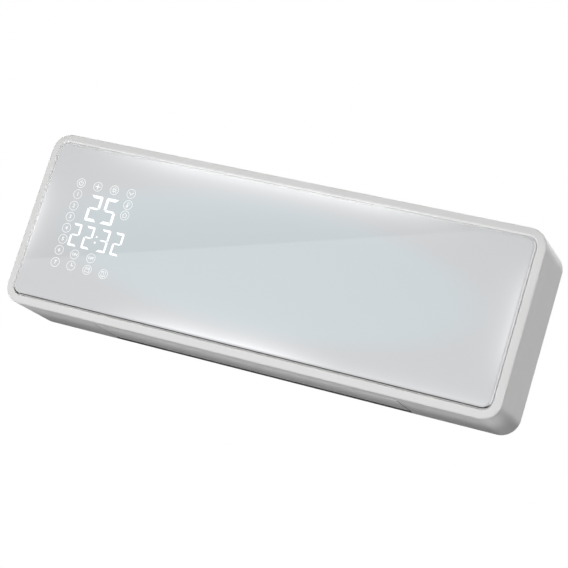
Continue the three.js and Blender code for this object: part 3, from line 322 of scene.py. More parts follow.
def dress(body, *rows):
    """Stands copies with eased edges in for frame solids of one body.

    A row holds the node, its material, its slot, which is not used, the radius of its edges in
    millimetres, or 0 for none, and the segments of that radius if not 2.
    """
    for node, material, slot, radius, *segments in rows:
        piece = solid_copy(node, node + "_finished")
        if radius:
            ease(piece, radius, *(segments or [2]))
        shade(piece)
        fit(piece, body, material, [node])


# ---------- finishes

WHITE = (1, 1, 1, 1)
# Colour of painted shade, for faces that stand in shadow.
PAINTED_SHADE = (0.045, 0.045, 0.046)


def add_node(tree, kind, output, inputs, **settings):
    """New node with its inputs set to values or linked to outputs, of which one output is given."""
    node = tree.nodes.new(kind)
    adjust(node, **settings)
    for key, value in inputs.items():
        if isinstance(value, bpy.types.NodeSocket):
            tree.links.new(value, node.inputs[key])
        else:
            node.inputs[key].default_value = value
    return node.outputs[output]


class Finish:
    """A node material under construction, with patterns on the piece's own coordinates."""

    def __init__(self, name, colour, roughness, metallic=0.0, **inputs):
        self.material = bpy.data.materials.new(name)
        self.material.use_nodes = True
        self.material.diffuse_color = (*colour, 1)
        self.tree = self.material.node_tree
        self.shader = self.tree.nodes["Principled BSDF"]
        self.colour = colour
        self.place = self.node("ShaderNodeTexCoord", "Object", {})
        inputs.update(Base_Color=(*colour, 1), Roughness=roughness, Metallic=metallic)
        for key, value in inputs.items():
            self.shader.inputs[key.replace("_", " ")].default_value = value

    def node(self, kind, output, inputs, **settings):
        return add_node(self.tree, kind, output, inputs, **settings)

    def use(self, value, name):
        """Feeds an input of the shader."""
        self.tree.links.new(value, self.shader.inputs[name])

    def noise(self, scale, detail=3.0, stretch=(1, 1, 1)):
        place = self.place
        if stretch != (1, 1, 1):
            place = self.node("ShaderNodeMapping", "Vector", {"Vector": place, "Scale": stretch})
        return self.node("ShaderNodeTexNoise", "Fac",
                         {"Vector": place, "Scale": scale, "Detail": detail})

    def cells(self, scale, output="Distance"):
        return self.node("ShaderNodeTexVoronoi", output, {"Vector": self.place, "Scale": scale})

    def along(self, axis):
        """The coordinate along an axis."""
        return self.node("ShaderNodeSeparateXYZ", axis, {"Vector": self.place})

    def remap(self, value, low, high, out_low, out_high, kind="LINEAR"):
        numbers = {"From Min": low, "From Max": high, "To Min": out_low, "To Max": out_high}
        return self.node("ShaderNodeMapRange", "Result", {"Value": value, **numbers},
                         interpolation_type=kind)

    def smooth(self, value, low, high, out_low, out_high):
        return self.remap(value, low, high, out_low, out_high, "SMOOTHSTEP")

    def maths(self, operation, *values):
        return self.node("ShaderNodeMath", "Value", dict(enumerate(values)), operation=operation)

    times = partialmethod(maths, "MULTIPLY")
    plus = partialmethod(maths, "ADD")
    minus = partialmethod(maths, "SUBTRACT")

    def where(self, limits):
        """1 where every limit on the size of a coordinate, in millimetres, holds, else 0."""
        tests = [self.maths(kind, self.maths("ABSOLUTE", self.along(axis)), distance * MM)
                 for axis, kind, distance in limits]
        return reduce(self.times, tests)

    def blend(self, factor, *colours):
        """Colour that goes from the first to the second with the factor."""
        first, second = ((*value, 1) if isinstance(value, tuple) else value for value in colours)
        return self.node("ShaderNodeMix", 2, {"Factor": factor, 6: first, 7: second},
                         data_type="RGBA")

    def shades(self, factor, low, high):
        """The base colour, from its darker to its lighter tint with the factor."""
        dark, light = (tuple(min(1.0, channel * amount) for channel in self.colour)
                       for amount in (low, high))
        return self.blend(factor, dark, light)

    def clouds(self, scale, low, high):
        """Slight, cloudy change of the base colour."""
        return self.shades(self.remap(self.noise(scale), 0.35, 0.65, 0, 1), low, high)

    def use_colour(self, value):
        self.use(value, "Base Color")

    def use_roughness(self, value, low, high):
        self.use(self.remap(value, 0.3, 0.7, low, high), "Roughness")

    def use_relief(self, value, strength, depth):
        inputs = {"Height": value, "Strength": strength, "Distance": depth * MM}
        self.use(self.node("ShaderNodeBump", "Normal", inputs), "Normal")


def moulded_plastic(name, colour, roughness, grain=1400.0, depth=0.012, strength=0.25,
                    painted_shade_where=()):
    """Injection-moulded plastic with a fine eroded grain, and painted shade where the limits given hold.
    """
    finish = Finish(name, colour, roughness, Specular_IOR_Level=0.35)
    paint = finish.clouds(18.0, 0.985, 1.015)
    # Painted shade: where the limits hold, the colour turns dark in place of the shadow there.
    if painted_shade_where:
        paint = finish.blend(finish.where(painted_shade_where), paint, PAINTED_SHADE)
    finish.use_colour(paint)
    finish.use_roughness(finish.noise(60.0), roughness - 0.03, roughness + 0.03)
    finish.use_relief(finish.noise(grain, 2.0), strength, depth)
    return finish.material


def rolled_metal(name, colour, roughness, stretch=(1, 14, 14)):
    """Rolled or drawn metal with faint lines along its length."""
    finish = Finish(name, colour, roughness, 1.0)
    lines = finish.noise(120.0, 4.0, stretch)
    finish.use_colour(finish.shades(lines, 0.86, 1.06))
    finish.use_roughness(lines, roughness - 0.07, roughness + 0.08)
    finish.use_relief(lines, 0.2, 0.01)
    return finish.material


def zinc_plate(name):
    """Bright zinc with its fine spangle."""
    finish = Finish(name, (0.58, 0.595, 0.61), 0.36, 1.0)
    facet = finish.times(finish.cells(260.0, "Color"), 1.0)
    finish.use_colour(finish.shades(facet, 0.93, 1.07))
    finish.use_roughness(facet, 0.33, 0.40)
    finish.use_relief(finish.noise(500.0), 0.08, 0.01)
    return finish.material


def rubber(name, colour=(0.014, 0.014, 0.015)):
    finish = Finish(name, colour, 0.74)
    finish.use_colour(finish.shades(finish.noise(70.0), 0.8, 1.7))
    finish.use_roughness(finish.noise(220.0), 0.66, 0.84)
    finish.use_relief(finish.noise(900.0), 0.3, 0.02)
    return finish.material


def foam(name):
    """Open-celled tape."""
    finish = Finish(name, (0.035, 0.036, 0.038), 0.95)
    pores = finish.cells(900.0)
    finish.use_colour(finish.blend(pores, (0.012, 0.012, 0.013), (0.06, 0.06, 0.063)))
    finish.use_relief(pores, 0.7, 0.15)
    return finish.material


def circuit_board(name):
    """Green solder mask over faint copper tracks."""
    finish = Finish(name, (0.02, 0.095, 0.045), 0.32)
    upright = {"Vector": finish.place, "Rotation": (math.pi / 2, 0, 0)}
    paint = finish.node("ShaderNodeTexBrick", "Color", {
        "Vector": finish.node("ShaderNodeMapping", "Vector", upright),
        "Scale": 95.0,
        "Mortar Size": 0.035,
        "Color1": (0.016, 0.085, 0.038, 1),
        "Color2": (0.022, 0.115, 0.05, 1),
        "Mortar": (0.05, 0.19, 0.075, 1),
    })
    finish.use_colour(paint)
    finish.use_roughness(finish.noise(300.0), 0.25, 0.42)
    finish.use_relief(paint.node.outputs["Fac"], 0.35, 0.035)
    return finish.material


def winding(name):
    """Taped coil whose turns show as fine bands."""
    finish = Finish(name, (0.62, 0.42, 0.10), 0.38)
    turns = finish.node("ShaderNodeTexWave", "Fac",
                        {"Vector": finish.place, "Scale": 420.0, "Distortion": 0.2},
                        wave_type="BANDS", bands_direction="Y")
    finish.use_colour(finish.blend(turns, (0.42, 0.27, 0.05), (0.72, 0.50, 0.14)))
    finish.use_roughness(finish.noise(200.0), 0.3, 0.5)
    finish.use_relief(turns, 0.4, 0.08)
    return finish.material


def fired_ceramic(name, colour):
    """Heat-proof moulding, chalky and speckled."""
    finish = Finish(name, colour, 0.68)
    finish.use_colour(finish.shades(finish.cells(700.0), 0.82, 1.05))
    finish.use_roughness(finish.noise(240.0), 0.6, 0.78)
    finish.use_relief(finish.noise(900.0), 0.35, 0.03)
    return finish.material


def sintered_bronze(name):
    """Pressed and oil-filled bronze with open grains."""
    finish = Finish(name, (0.46, 0.28, 0.11), 0.42, 1.0)
    grains = finish.cells(1500.0)
    finish.use_colour(finish.blend(grains, (0.30, 0.17, 0.06), (0.52, 0.33, 0.14)))
    finish.use_relief(grains, 0.4, 0.02)
    return finish.material


# Painted glow along the glass's edges, in colour and emission, standing in for light the edges reflect.
# Each: the axis that points out of the edge, its sign, the reach inwards, the middle along the edge, the
# half length with even light, the half length at which it has gone, and the strength.
PAINTED_GLASS_GLOWS = (
    ("Z", 1, 11, -15, 90, 235, 0.41),
    ("Z", -1, 9, -25, 20, 150, 0.46),
    ("Z", -1, 6, 150, 90, 190, 0.16),
    ("X", -1, 8, -5, 10, 62, 0.30),
    ("X", 1, 9, 0, 15, 75, 0.25),
)
GLASS_GLOSS = 0.012
GLASS_TINT_HALF = (253, 76)
# Painted shade and painted light on the glass: the colour of the painted shade along its bottom edge,
# how far the painted glow whitens its colour, and the emission of the painted glow, of the painted light
# on the side behind the edge and of the painted highlight on the upper rounding.
GLASS_SHADE = (0.06, 0.058, 0.056)
EDGE_WHITENING = 2.4
EDGE_LIGHT = 0.45
SIDE_LIGHT = 0.25
ROUNDING_LIGHT = 0.13


def panel_glass(name, centre, corner, edge):
    """White-backed glass, cooler in the middle, with painted glow and painted highlights along its edges
    and painted shade along its bottom edge.
    """
    finish = Finish(name, centre, GLASS_GLOSS, Specular_IOR_Level=0.5, Coat_Weight=0.35,
                    Coat_Roughness=GLASS_GLOSS, Emission_Color=WHITE)
    times, plus, minus, smooth = finish.times, finish.plus, finish.minus, finish.smooth
    x, y, z = (finish.along(axis) for axis in "XYZ")
    (x0, y0, z0), (x1, y1, z1) = GLASS

    def glow(axis, sign, reach, middle, flat, end, strength):
        """Painted glow that fades inwards from one edge and towards that edge's ends."""
        outwards, along_edge = (z, x) if axis == "Z" else (x, z)
        level = {("Z", 1): z1, ("Z", -1): z0, ("X", 1): x1, ("X", -1): x0}[axis, sign]
        depth = times(minus(outwards, level * MM), sign / (reach * MM))
        fade = finish.maths("EXPONENT", finish.maths("MINIMUM", depth, 0.0))
        place = finish.maths("ABSOLUTE", minus(along_edge, middle * MM))
        return times(fade, smooth(place, flat * MM, end * MM, strength, 0))

    painted_glow = reduce(plus, [glow(*values) for values in PAINTED_GLASS_GLOWS])

    # Where the edge lies: below or above the diagonal, on the rounding, or on the side behind it.
    diagonal = minus(times(z, 1 / (z1 * MM)), times(x, 1 / (x1 * MM)))
    lower = smooth(diagonal, -0.1, 0.1, 1, 0)
    upper = minus(1.0, lower)
    rounding = finish.remap(y, y0 * MM, (y0 + 0.5) * MM, 0, 0.9)
    side = smooth(y, (y0 + 0.8) * MM, (y0 + 1.7) * MM, 0, 1)
    bottom = smooth(z, (z0 + 2) * MM, (z0 + 8) * MM, 1, 0)
    # Painted shade along the bottom edge, where the groove below the glass lies in shadow.
    shaded = times(side, bottom)
    # Less painted glow on the lower rounding, which turns away from the light: painted shade.
    painted_glow = times(painted_glow, minus(1.0, times(rounding, lower)))

    half_x, half_z = GLASS_TINT_HALF
    across = finish.maths("POWER", times(x, 1 / (half_x * MM)), 2)
    up = finish.maths("POWER", times(z, 1 / (half_z * MM)), 2)
    body = finish.blend(smooth(plus(across, up), 0.55, 1.0, 0, 1), centre, corner)
    drift = finish.remap(finish.noise(3.0, 1.0), 0.3, 0.7, 0, 1)
    body = finish.blend(times(drift, 0.02), body, edge)
    # The painted glow whitens the colour, and the painted shade darkens the bottom edge.
    painted_whitening = finish.maths("MINIMUM", times(painted_glow, EDGE_WHITENING), 1.0)
    surface = finish.blend(painted_whitening, body, edge)
    finish.use_colour(finish.blend(shaded, surface, GLASS_SHADE))

    # Emission that paints light: the painted glow, painted light on the side behind the edge away from
    # the bottom, and a painted highlight on the upper rounding.
    painted_light = times(times(painted_glow, EDGE_LIGHT), minus(1.0, shaded))
    painted_light = plus(painted_light, times(minus(side, shaded), SIDE_LIGHT))
    painted_light = plus(painted_light, times(times(rounding, upper), ROUNDING_LIGHT))
    finish.use(painted_light, "Emission Strength")
    return finish.material


def lit_sign(name, strength):
    """Light that shows through the backing of the glass."""
    finish = Finish(name, (0.90, 0.91, 0.92), 0.3, Emission_Color=WHITE,
                    Emission_Strength=strength)
    finish.use_colour(finish.blend(finish.noise(400.0), (0.87, 0.88, 0.89), (0.92, 0.93, 0.94)))
    return finish.material


# ---------- sizes and colours

def size_field(name, description, default, least, most):
    return FloatProperty(name=name, description=description + ", in millimetres",
                         default=default, min=least, max=most)


def colour_field(name, description, default):
    return FloatVectorProperty(name=name, description="Colour of " + description,
                               subtype="COLOR", default=default, min=0.0, max=1.0)


class HeaterSizes(bpy.types.PropertyGroup):
    """Sizes of the heater's outer pieces, fins and digits."""

    corner_radius: size_field("Corner radius", "Radius of the body's four long corners", 19.5, 5.0, 40.0)
    rim_radius: size_field("Rim radius", "Radius round the front edge of the body", 2.4, 0.3, 4.0)
    lip_radius: size_field("Lip radius", "Radius round the inner edge of the rim", 1.7, 0.3, 3.0)
    rear_radius: size_field("Rear radius", "Radius round the rear edge of the body", 2.0, 0.3, 2.3)
    glass_radius: size_field("Glass edge radius", "Radius round the edge of the glass", 3.4, 0.2, 3.5)
    slot_pitch: size_field("Intake pitch", "Distance between two intake bars", 10.2, 6.0, 20.0)
    net_pitch: size_field("Net pitch", "Distance between two threads of the dust net", 2.2, 1.5, 6.0)
    fin_pitch: size_field("Fin pitch", "Length of one fold of the heating fins", 2.8, 2.0, 8.0)
    stroke: size_field("Digit stroke", "Width of a bar of the large digits", 3.0, 1.0, 4.0)


class HeaterFinishes(bpy.types.PropertyGroup):
    """Colours of the heater's outer pieces and of the floor."""

    housing: colour_field("Housing", "the front shell", (0.80, 0.80, 0.795))
    rear: colour_field("Rear cover", "the rear cover", (0.72, 0.725, 0.72))
    glass: colour_field("Glass", "the middle of the glass front", (0.68, 0.745, 0.77))
    glass_corner: colour_field(
        "Glass corner", "the glass front towards its corners", (0.69, 0.70, 0.715))
    # Colour of the painted glow near the glass's edges; a trace of it also tints the glass at random.
    glass_edge: colour_field("Glass edge", "the glass near its edges", (0.93, 0.945, 0.965))
    background: colour_field("Background", "the floor", (0.82, 0.82, 0.82))


# ---------- outer pieces

class Step:
    """One step of the build, which takes its sizes and colours from the scene."""

    def execute(self, context):
        self.build(context.scene.heater_sizes, context.scene.heater_finishes)
        return {"FINISHED"}


class HEATER_OT_front_shell(Step, bpy.types.Operator):
    """Moulded shell with its rim, glass pocket and openings"""

    bl_idname = "heater.front_shell"
    bl_label = "Front shell"

    def at_switch(self, name, outside, inside, half_y, half_z, corner):
        """Block through the left face, centred on the mains switch."""
        face = SHELL[0].x
        limits = (face - outside, face + inside, SWITCH_Y - half_y, SWITCH_Y + half_y,
                  SWITCH_Z - half_z, SWITCH_Z + half_z)
        if corner:
            return rounded_block(name, *limits, corner, 0, 6)
        return block(name, *limits)

    def build(self, sizes, colours):
        (x0, y0, z0), (x1, y1, z1) = SHELL
        slope = math.radians(RIM_SLOPE)
        lip = sizes.lip_radius
        lip_y = y0 + lip * math.cos(slope) + math.tan(slope) * lip * (1 + math.sin(slope))
        edge = sizes.rim_radius
        edge_y = (y0 + edge * math.cos(slope)
                  + math.tan(slope) * (RIM_WIDTH - edge + edge * math.sin(slope)))
        rear = sizes.rear_radius
        shell = layered(
            "front_shell", x0, x1, z0, z1, sizes.corner_radius,
            [(POCKET_FLOOR_Y, RIM_WIDTH)]
            + arc(lip_y, RIM_WIDTH - lip, lip, -90, RIM_SLOPE, 8)
            + arc(edge_y, edge, edge, RIM_SLOPE, 90, 7)
            + arc(y1 - rear, rear, rear, 90, 180, 6))
        cut(shell,
            rounded_block("hollow", x0 + WALL, x1 - WALL, FLOOR_BACK_Y, y1 + CUT_INSIDE,
                          z0 + WALL, z1 - WALL, sizes.corner_radius - WALL))
        cut(shell,
            block("outlet", *OUTLET, z0 - CUT_OUTSIDE, z0 + CUT_INSIDE),
            rounded_block("intake", *INTAKE, z1 - CUT_INSIDE, z1 + CUT_OUTSIDE, LID_CORNER, 2, 3))
        # The seat of the switch stays behind the face: the trim takes what stands out of it.
        seat = self.at_switch("seat", *SWITCH_SEAT)
        cut(seat, block("trim", x0 - 9, x0 + 0.5, -90, 0, -94, 0))
        fuse(shell, seat)
        cut(shell, self.at_switch("recess", *SWITCH_RECESS), self.at_switch("hole", *SWITCH_HOLE))
        for x in (-POST_X, POST_X):
            for z in (-POST_Z, POST_Z):
                start, end = (x, FLOOR_BACK_Y - 0.5, z), (x, y1 - 5, z)
                fuse(shell, rod("post", POST_RADIUS, start, end, 24))
        clean(shell)
        shade(shell)
        # The cut walls of the outlet get painted shade, as they stand in shadow, with 0.05 mm to spare
        # on each.
        shaded_outlet_walls = (("X", "LESS_THAN", OUTLET[1] + 0.05),
                        ("Y", "LESS_THAN", 0.05 - OUTLET[2]),
                        ("Y", "GREATER_THAN", -0.05 - OUTLET[3]),
                        ("Z", "GREATER_THAN", z1 - CUT_INSIDE))
        plastic = moulded_plastic("housing plastic", tuple(colours.housing), 0.34,
                                  painted_shade_where=shaded_outlet_walls)
        fit(shell, "housing", plastic, ["front_housing"])


class HEATER_OT_glass_front(Step, bpy.types.Operator):
    """Glass front with a rounded edge, and the foam tape it sits on"""

    bl_idname = "heater.glass_front"
    bl_label = "Glass front"

    def build(self, sizes, colours):
        (x0, y0, z0), (x1, y1, z1) = GLASS
        front, back = sizes.glass_radius, GLASS_BACK_RADIUS
        x0, x1, z0, z1 = x0 + GLASS_FIT, x1 - GLASS_FIT, z0 + GLASS_FIT, z1 - GLASS_FIT
        glass = layered("glass_front", x0, x1, z0, z1, sizes.corner_radius - (x0 - SHELL[0].x),
                        arc(y0 + front, front, front, 0, 90, 9)
                        + arc(y1 - back, back, back, 90, 180, 3))
        shade(glass)
        paints = (tuple(c) for c in (colours.glass, colours.glass_corner, colours.glass_edge))
        fit(glass, "housing", panel_glass("backed glass", *paints), ["glass_panel"])
        dress("housing", ("panel_gasket", foam("foam tape"), "foam_dark", 0))


class HEATER_OT_rear_cover(Step, bpy.types.Operator):
    """Rear cover with its screws, cord bush and wall bracket"""

    bl_idname = "heater.rear_cover"
    bl_label = "Rear cover"

    def build(self, sizes, colours):
        cover = moulded_plastic("rear plastic", tuple(colours.rear), 0.5, 700.0, 0.03, 0.4)
        zinc = zinc_plate("zinc plate")
        screws = [(f"housing_screw_{i}", zinc, "zinc_steel", 0.15) for i in range(1, 5)]
        dress("housing",
              ("rear_cover", cover, "rear_white", 0.5),
              *screws,
              ("wall_bracket", zinc, "zinc_steel", 0.25),
              ("cord_gland", rubber("bush rubber"), "rubber_black", 0.25))


class HEATER_OT_outlet_flap(Step, bpy.types.Operator):
    """Swinging flap that closes the warm air outlet, and its drive"""

    bl_idname = "heater.outlet_flap"
    bl_label = "Outlet flap"

    def build(self, sizes, colours):
        # The flap's own ends lie closer to the middle than the outlet's by less than 0.95 mm; painted
        # shade darkens these end faces, which stand in the shadowed seam.
        ends = (("X", "GREATER_THAN", OUTLET[1] - 0.95),)
        flap = moulded_plastic("flap plastic", tuple(colours.housing), 0.36, painted_shade_where=ends)
        steel = rolled_metal("shaft steel", (0.60, 0.61, 0.62), 0.25, (14, 1, 1))
        dress("louver",
              ("louver", flap, "housing_white", 0.35),
              ("louver_drive_shaft", steel, "zinc_steel", 0.1))
        dress("housing", ("louver_motor", zinc_plate("motor zinc"), "motor_steel", 0.3))


class HEATER_OT_intake(Step, bpy.types.Operator):
    """Slotted lid, filter frame and dust net, lifted out as one"""

    bl_idname = "heater.intake"
    bl_label = "Intake and filter"

    def lid(self, pitch, paint):
        (x0, y0, z0), (x1, y1, z1) = solid_box("intake_grille")
        lid = rounded_block("intake_lid", x0, x1, y0, y1, z0, z1, LID_CORNER, 2, 3)
        count = int((x1 - x0 - 2 * LID_MARGIN) // pitch)
        slots = []
        for i in range(count):
            left = (i - count / 2) * pitch + LID_BAR / 2
            slots.append(block("slot", left, left + pitch - LID_BAR, y0 + LID_MARGIN,
                               y1 - LID_MARGIN, z0 - 1, z1 + 1))
        comb = gather(slots, "slots")
        round_edges(comb, 2, SLOT_CORNER, 4)
        cut(lid, comb)
        clean(lid)
        ease(lid, 0.45, 2)
        shade(lid)
        fit(lid, "filter", moulded_plastic("lid plastic", paint, 0.36), ["intake_grille"])

    def net(self, pitch):
        (x0, y0, z0), (x1, y1, z1) = solid_box("filter_mesh")
        middle = (z0 + z1) / 2
        threads = []
        for i in range(int((x1 - x0) // pitch) + 1):
            x = x0 + NET_START + i * pitch
            threads.append(block("thread", x - THREAD_HALF, x + THREAD_HALF, y0, y1,
                                 middle - NET_HALF, middle))
        for i in range(int((y1 - y0) // pitch) + 1):
            y = y0 + NET_START + i * pitch
            threads.append(block("thread", x0, x1, y - THREAD_HALF, y + THREAD_HALF,
                                 middle - NET_OVERLAP, middle + NET_HALF))
        fit(gather(threads, "dust_net"), "filter", rubber("net nylon", (0.02, 0.02, 0.022)),
            ["filter_mesh"])

    def build(self, sizes, colours):
        self.lid(sizes.slot_pitch, tuple(colours.housing))
        dark = moulded_plastic("filter frame plastic", (0.05, 0.053, 0.056), 0.5)
        dress("filter", ("filter_frame", dark, "duct_grey", 0.3))
        self.net(sizes.net_pitch)


# ---------- working parts

class HEATER_OT_heating_element(Step, bpy.types.Operator):
    """Folded fins between flat tubes in a heat-proof frame, its cut-outs and the guard"""

    bl_idname = "heater.heating_element"
    bl_label = "Heating element"

    def fold(self, name, pitch, material, node):
        """Strip folded to and fro along the whole length of a fin row."""
        (x0, y0, z0), (x1, y1, z1) = solid_box(node)
        folds = int((x1 - x0) // pitch)
        mesh = bmesh.new()
        rows = []
        for i in range(2 * folds + 1):
            x = x0 + i * (x1 - x0) / (2 * folds)
            y = y1 if i % 2 else y0
            rows.append([mesh.verts.new((x * MM, y * MM, z * MM)) for z in (z0, z1)])
        for first, second in zip(rows, rows[1:]):
            mesh.faces.new((first[0], second[0], second[1], first[1]))
        piece = from_bmesh(name, mesh)
        use_modifier(piece, "SOLIDIFY", thickness=FIN_SHEET * MM, offset=0)
        clean(piece)
        shade(piece)
        fit(piece, "housing", material, [node])

    def build(self, sizes, colours):
        fins = rolled_metal("fin aluminium", (0.72, 0.73, 0.74), 0.34, (1, 1, 9))
        for i in range(1, 4):
            self.fold(f"folded_fins_{i}", sizes.fin_pitch, fins, f"heater_fins_{i}")
        tube = rolled_metal("tube aluminium", (0.55, 0.555, 0.56), 0.42, (1, 12, 12))
        brass = rolled_metal("tab brass", (0.62, 0.45, 0.17), 0.3, (1, 12, 12))
        for i in (1, 2):
            dress("housing",
                  (f"heater_tube_{i}", tube, "fin_aluminium", 0.2),
                  (f"heater_terminal_{i}", brass, "brass_tabs", 0.1))
        cream = fired_ceramic("frame ceramic", (0.60, 0.54, 0.42))
        brown = fired_ceramic("cut-out phenolic", (0.20, 0.13, 0.08))
        case = rolled_metal("fuse case", (0.50, 0.48, 0.44), 0.35)
        guard = moulded_plastic("guard plastic", (0.028, 0.029, 0.031), 0.5)
        dress("housing",
              ("heater_frame", cream, "heatproof_cream", 0.3),
              ("thermal_cutout", brown, "heatproof_cream", 0.25),
              ("thermal_fuse", case, "heatproof_cream", 0.2),
              ("outlet_guard", guard, "guard_black", 0.4))


class HEATER_OT_fan(Step, bpy.types.Operator):
    """Cross-flow impeller, its bearing, motor and duct"""

    bl_idname = "heater.fan"
    bl_label = "Fan and duct"

    def build(self, sizes, colours):
        blades = moulded_plastic("impeller plastic", (0.055, 0.06, 0.065), 0.45)
        steel = rolled_metal("rotor steel", (0.62, 0.63, 0.64), 0.22, (14, 1, 1))
        dress("rotor",
              ("impeller", blades, "impeller_grey", 0.2, 1),
              ("bearing_pin", steel, "zinc_steel", 0.3),
              ("motor_shaft", steel, "zinc_steel", 0.3))
        black = rubber("mount rubber")
        bronze = sintered_bronze("sintered bronze")
        can = zinc_plate("can zinc")
        cradle = rolled_metal("cradle steel", (0.48, 0.49, 0.5), 0.4)
        dress("housing",
              ("bearing_holder", black, "rubber_black", 0.4),
              ("bearing_bush", bronze, "bronze", 0.2),
              *[(f"motor_mount_ring_{i}", black, "rubber_black", 0.4) for i in (1, 2)],
              ("fan_motor", can, "motor_steel", 0.5, 3),
              ("motor_cradle", cradle, "motor_steel", 0.4))
        duct = moulded_plastic("duct plastic", (0.11, 0.118, 0.125), 0.5, 900.0, 0.02, 0.35)
        for node in ("rear_guide", "front_guide", "end_plate_left", "end_plate_right"):
            dress("housing", (node, duct, "duct_grey", 0.35))


class HEATER_OT_electrics(Step, bpy.types.Operator):
    """Display light box, boards and what they carry"""

    bl_idname = "heater.electrics"
    bl_label = "Boards and sensors"

    def build(self, sizes, colours):
        milk = moulded_plastic("diffuser plastic", (0.84, 0.84, 0.82), 0.5)
        board = circuit_board("solder mask")
        spring = rolled_metal("spring steel", (0.62, 0.62, 0.61), 0.25)
        springs = [(f"touch_spring_{i}", spring, "zinc_steel", 0) for i in range(1, 5)]
        relay = moulded_plastic("relay plastic", (0.012, 0.016, 0.028), 0.35)
        coil = winding("coil tape")
        sink = rolled_metal("extruded aluminium", (0.66, 0.67, 0.68), 0.35, (12, 1, 1))
        terminal = moulded_plastic("terminal plastic", (0.80, 0.80, 0.76), 0.4)
        resin = moulded_plastic("sensor resin", (0.02, 0.02, 0.02), 0.3)
        lens = moulded_plastic("receiver lens", (0.03, 0.006, 0.008), 0.12, 300.0, 0.004, 0.1)
        dress("housing",
              ("display_diffuser", milk, "diffuser_white", 0.2),
              ("display_board", board, "board_green", 0.15),
              ("power_board", board, "board_green", 0.15),
              *springs,
              *[(f"relay_{i}", relay, "guard_black", 0.4) for i in (1, 2)],
              ("transformer", coil, "coil_yellow", 0.4),
              ("heat_sink", sink, "fin_aluminium", 0.25),
              ("terminal_block", terminal, "diffuser_white", 0.35),
              ("room_sensor", resin, "lens_dark", 0.3),
              ("remote_receiver", lens, "lens_dark", 0.25))


class HEATER_OT_mains_switch(Step, bpy.types.Operator):
    """Rocker switch in the recess of the left side"""

    bl_idname = "heater.mains_switch"
    bl_label = "Mains switch"

    def build(self, sizes, colours):
        case = moulded_plastic("switch plastic", (0.02, 0.02, 0.021), 0.42)
        key = moulded_plastic("key plastic", (0.013, 0.013, 0.014), 0.28, 1800.0, 0.006, 0.2)
        dress("housing", ("switch_body", case, "guard_black", 0.35))
        dress("switch_key", ("switch_key", key, "guard_black", 0.5, 3))


# ---------- display

SIGN_Y = -102.0
SIGN_LIFT = 0.09
SIGN_SINK = 0.05
RING_RADIUS = 5.1
RING_WIDTH = 0.5
LETTER_LIFT = 0.04
LETTER_HALF = 0.05
LETTER_WEIGHT = 0.026

# Bars of each figure, and where the figures stand: left and right limit, lower and upper limit.
SEGMENTS = {
    "2": "abged",
    "5": "afgcd",
    "3": "abgcd",
}
LARGE_FIGURES = (("2", -207.1, -193.0), ("5", -188.6, -174.2))
LARGE_SPAN = (6.0, 34.2)
SMALL_FIGURES = (("2", -216.8, -206.3), ("2", -201.0, -190.6),
                 ("3", -182.5, -171.8), ("2", -166.3, -155.9))
SMALL_SPAN = (-23.4, 1.0)
SMALL_STROKE = 0.74
COLON_X = (-187.2, -185.4)
COLON_Z = (-8.4, -14.6)
COLON_HALF = 0.9
BAR_GAP = 0.17
DIGIT_LIGHT = 0.42
SIGN_LIGHT = 0.22
RINGED_LETTERS = (
    (-204.6, -31.4, "ON", 4.2),
    (-184.9, -31.4, "OFF", 3.7),
)
NUMBER_X = -223.7
NUMBER_Z = (31.4, 18.5, 6.4, -6.0, -18.2, -30.3, -43.7)
NUMBER_SIZE = 5.6

# Signs: middle, arcs as shift, radius, width, start and sweep, strokes as width and points.
SUN_TURNS = [math.radians(45 * i) for i in range(8)]
SUN_RAYS = [(0.55, *((reach * math.cos(turn), reach * math.sin(turn)) for reach in (2.4, 3.2)))
            for turn in SUN_TURNS]
SIGNS = {
    "power": ((-223.9, 43.6), [(0, 0, 2.7, 0.7, 125, 290)], [(0.7, (0, 0.4), (0, 3.0))]),
    "plus": ((-203.6, 43.6), [], [(0.9, (-2.5, 0), (2.5, 0)), (0.9, (0, -2.5), (0, 2.5))]),
    "sun": ((-183.8, 43.6), [(0, 0, 1.8, 0.7, 0, 360)], SUN_RAYS),
    "chevron": ((-163.6, 43.6), [], [(0.8, (-2.3, 1.1), (0, -1.3), (2.3, 1.1))]),
    "thermometer": ((-163.2, 31.4), [(-0.6, -1.8, 1.2, 0.9, 0, 360)],
                    [(0.65, (-0.6, -1.4), (-0.6, 2.8)), (0.4, (0.8, 2.4), (2.0, 2.4)),
                     (0.4, (0.8, 1.0), (2.0, 1.0)), (0.4, (0.8, -0.4), (2.0, -0.4))]),
    "house": ((-163.0, 20.0), [],
              [(0.5, (-1.9, 0.5), (-1.9, -2.2), (1.9, -2.2), (1.9, 0.5)),
               (0.5, (-2.7, -0.1), (0, 2.6), (2.7, -0.1))]),
    "clock": ((-204.5, -43.6), [], [(0.8, (0, 2.6), (0, 0), (2.0, 0))]),
    "week": ((-185.0, -44.0), [],
             [(0.45, (-2.5, -2.3), (2.5, -2.3), (2.5, 2.0), (-2.5, 2.0), (-2.5, -2.3)),
              (0.45, (-2.5, 0.7), (2.5, 0.7)), (0.45, (-1.2, 2.0), (-1.2, 3.0)),
              (0.45, (1.2, 2.0), (1.2, 3.0))]),
    "window": ((-165.5, -44.4), [],
               [(0.45, (-2.4, -2.3), (-2.4, 2.5), (2.4, 2.5), (2.4, -2.3), (-2.4, -2.3)),
                (0.45, (-2.4, 2.5), (0.4, 1.2), (0.4, -3.2), (-2.4, -2.3))]),
}


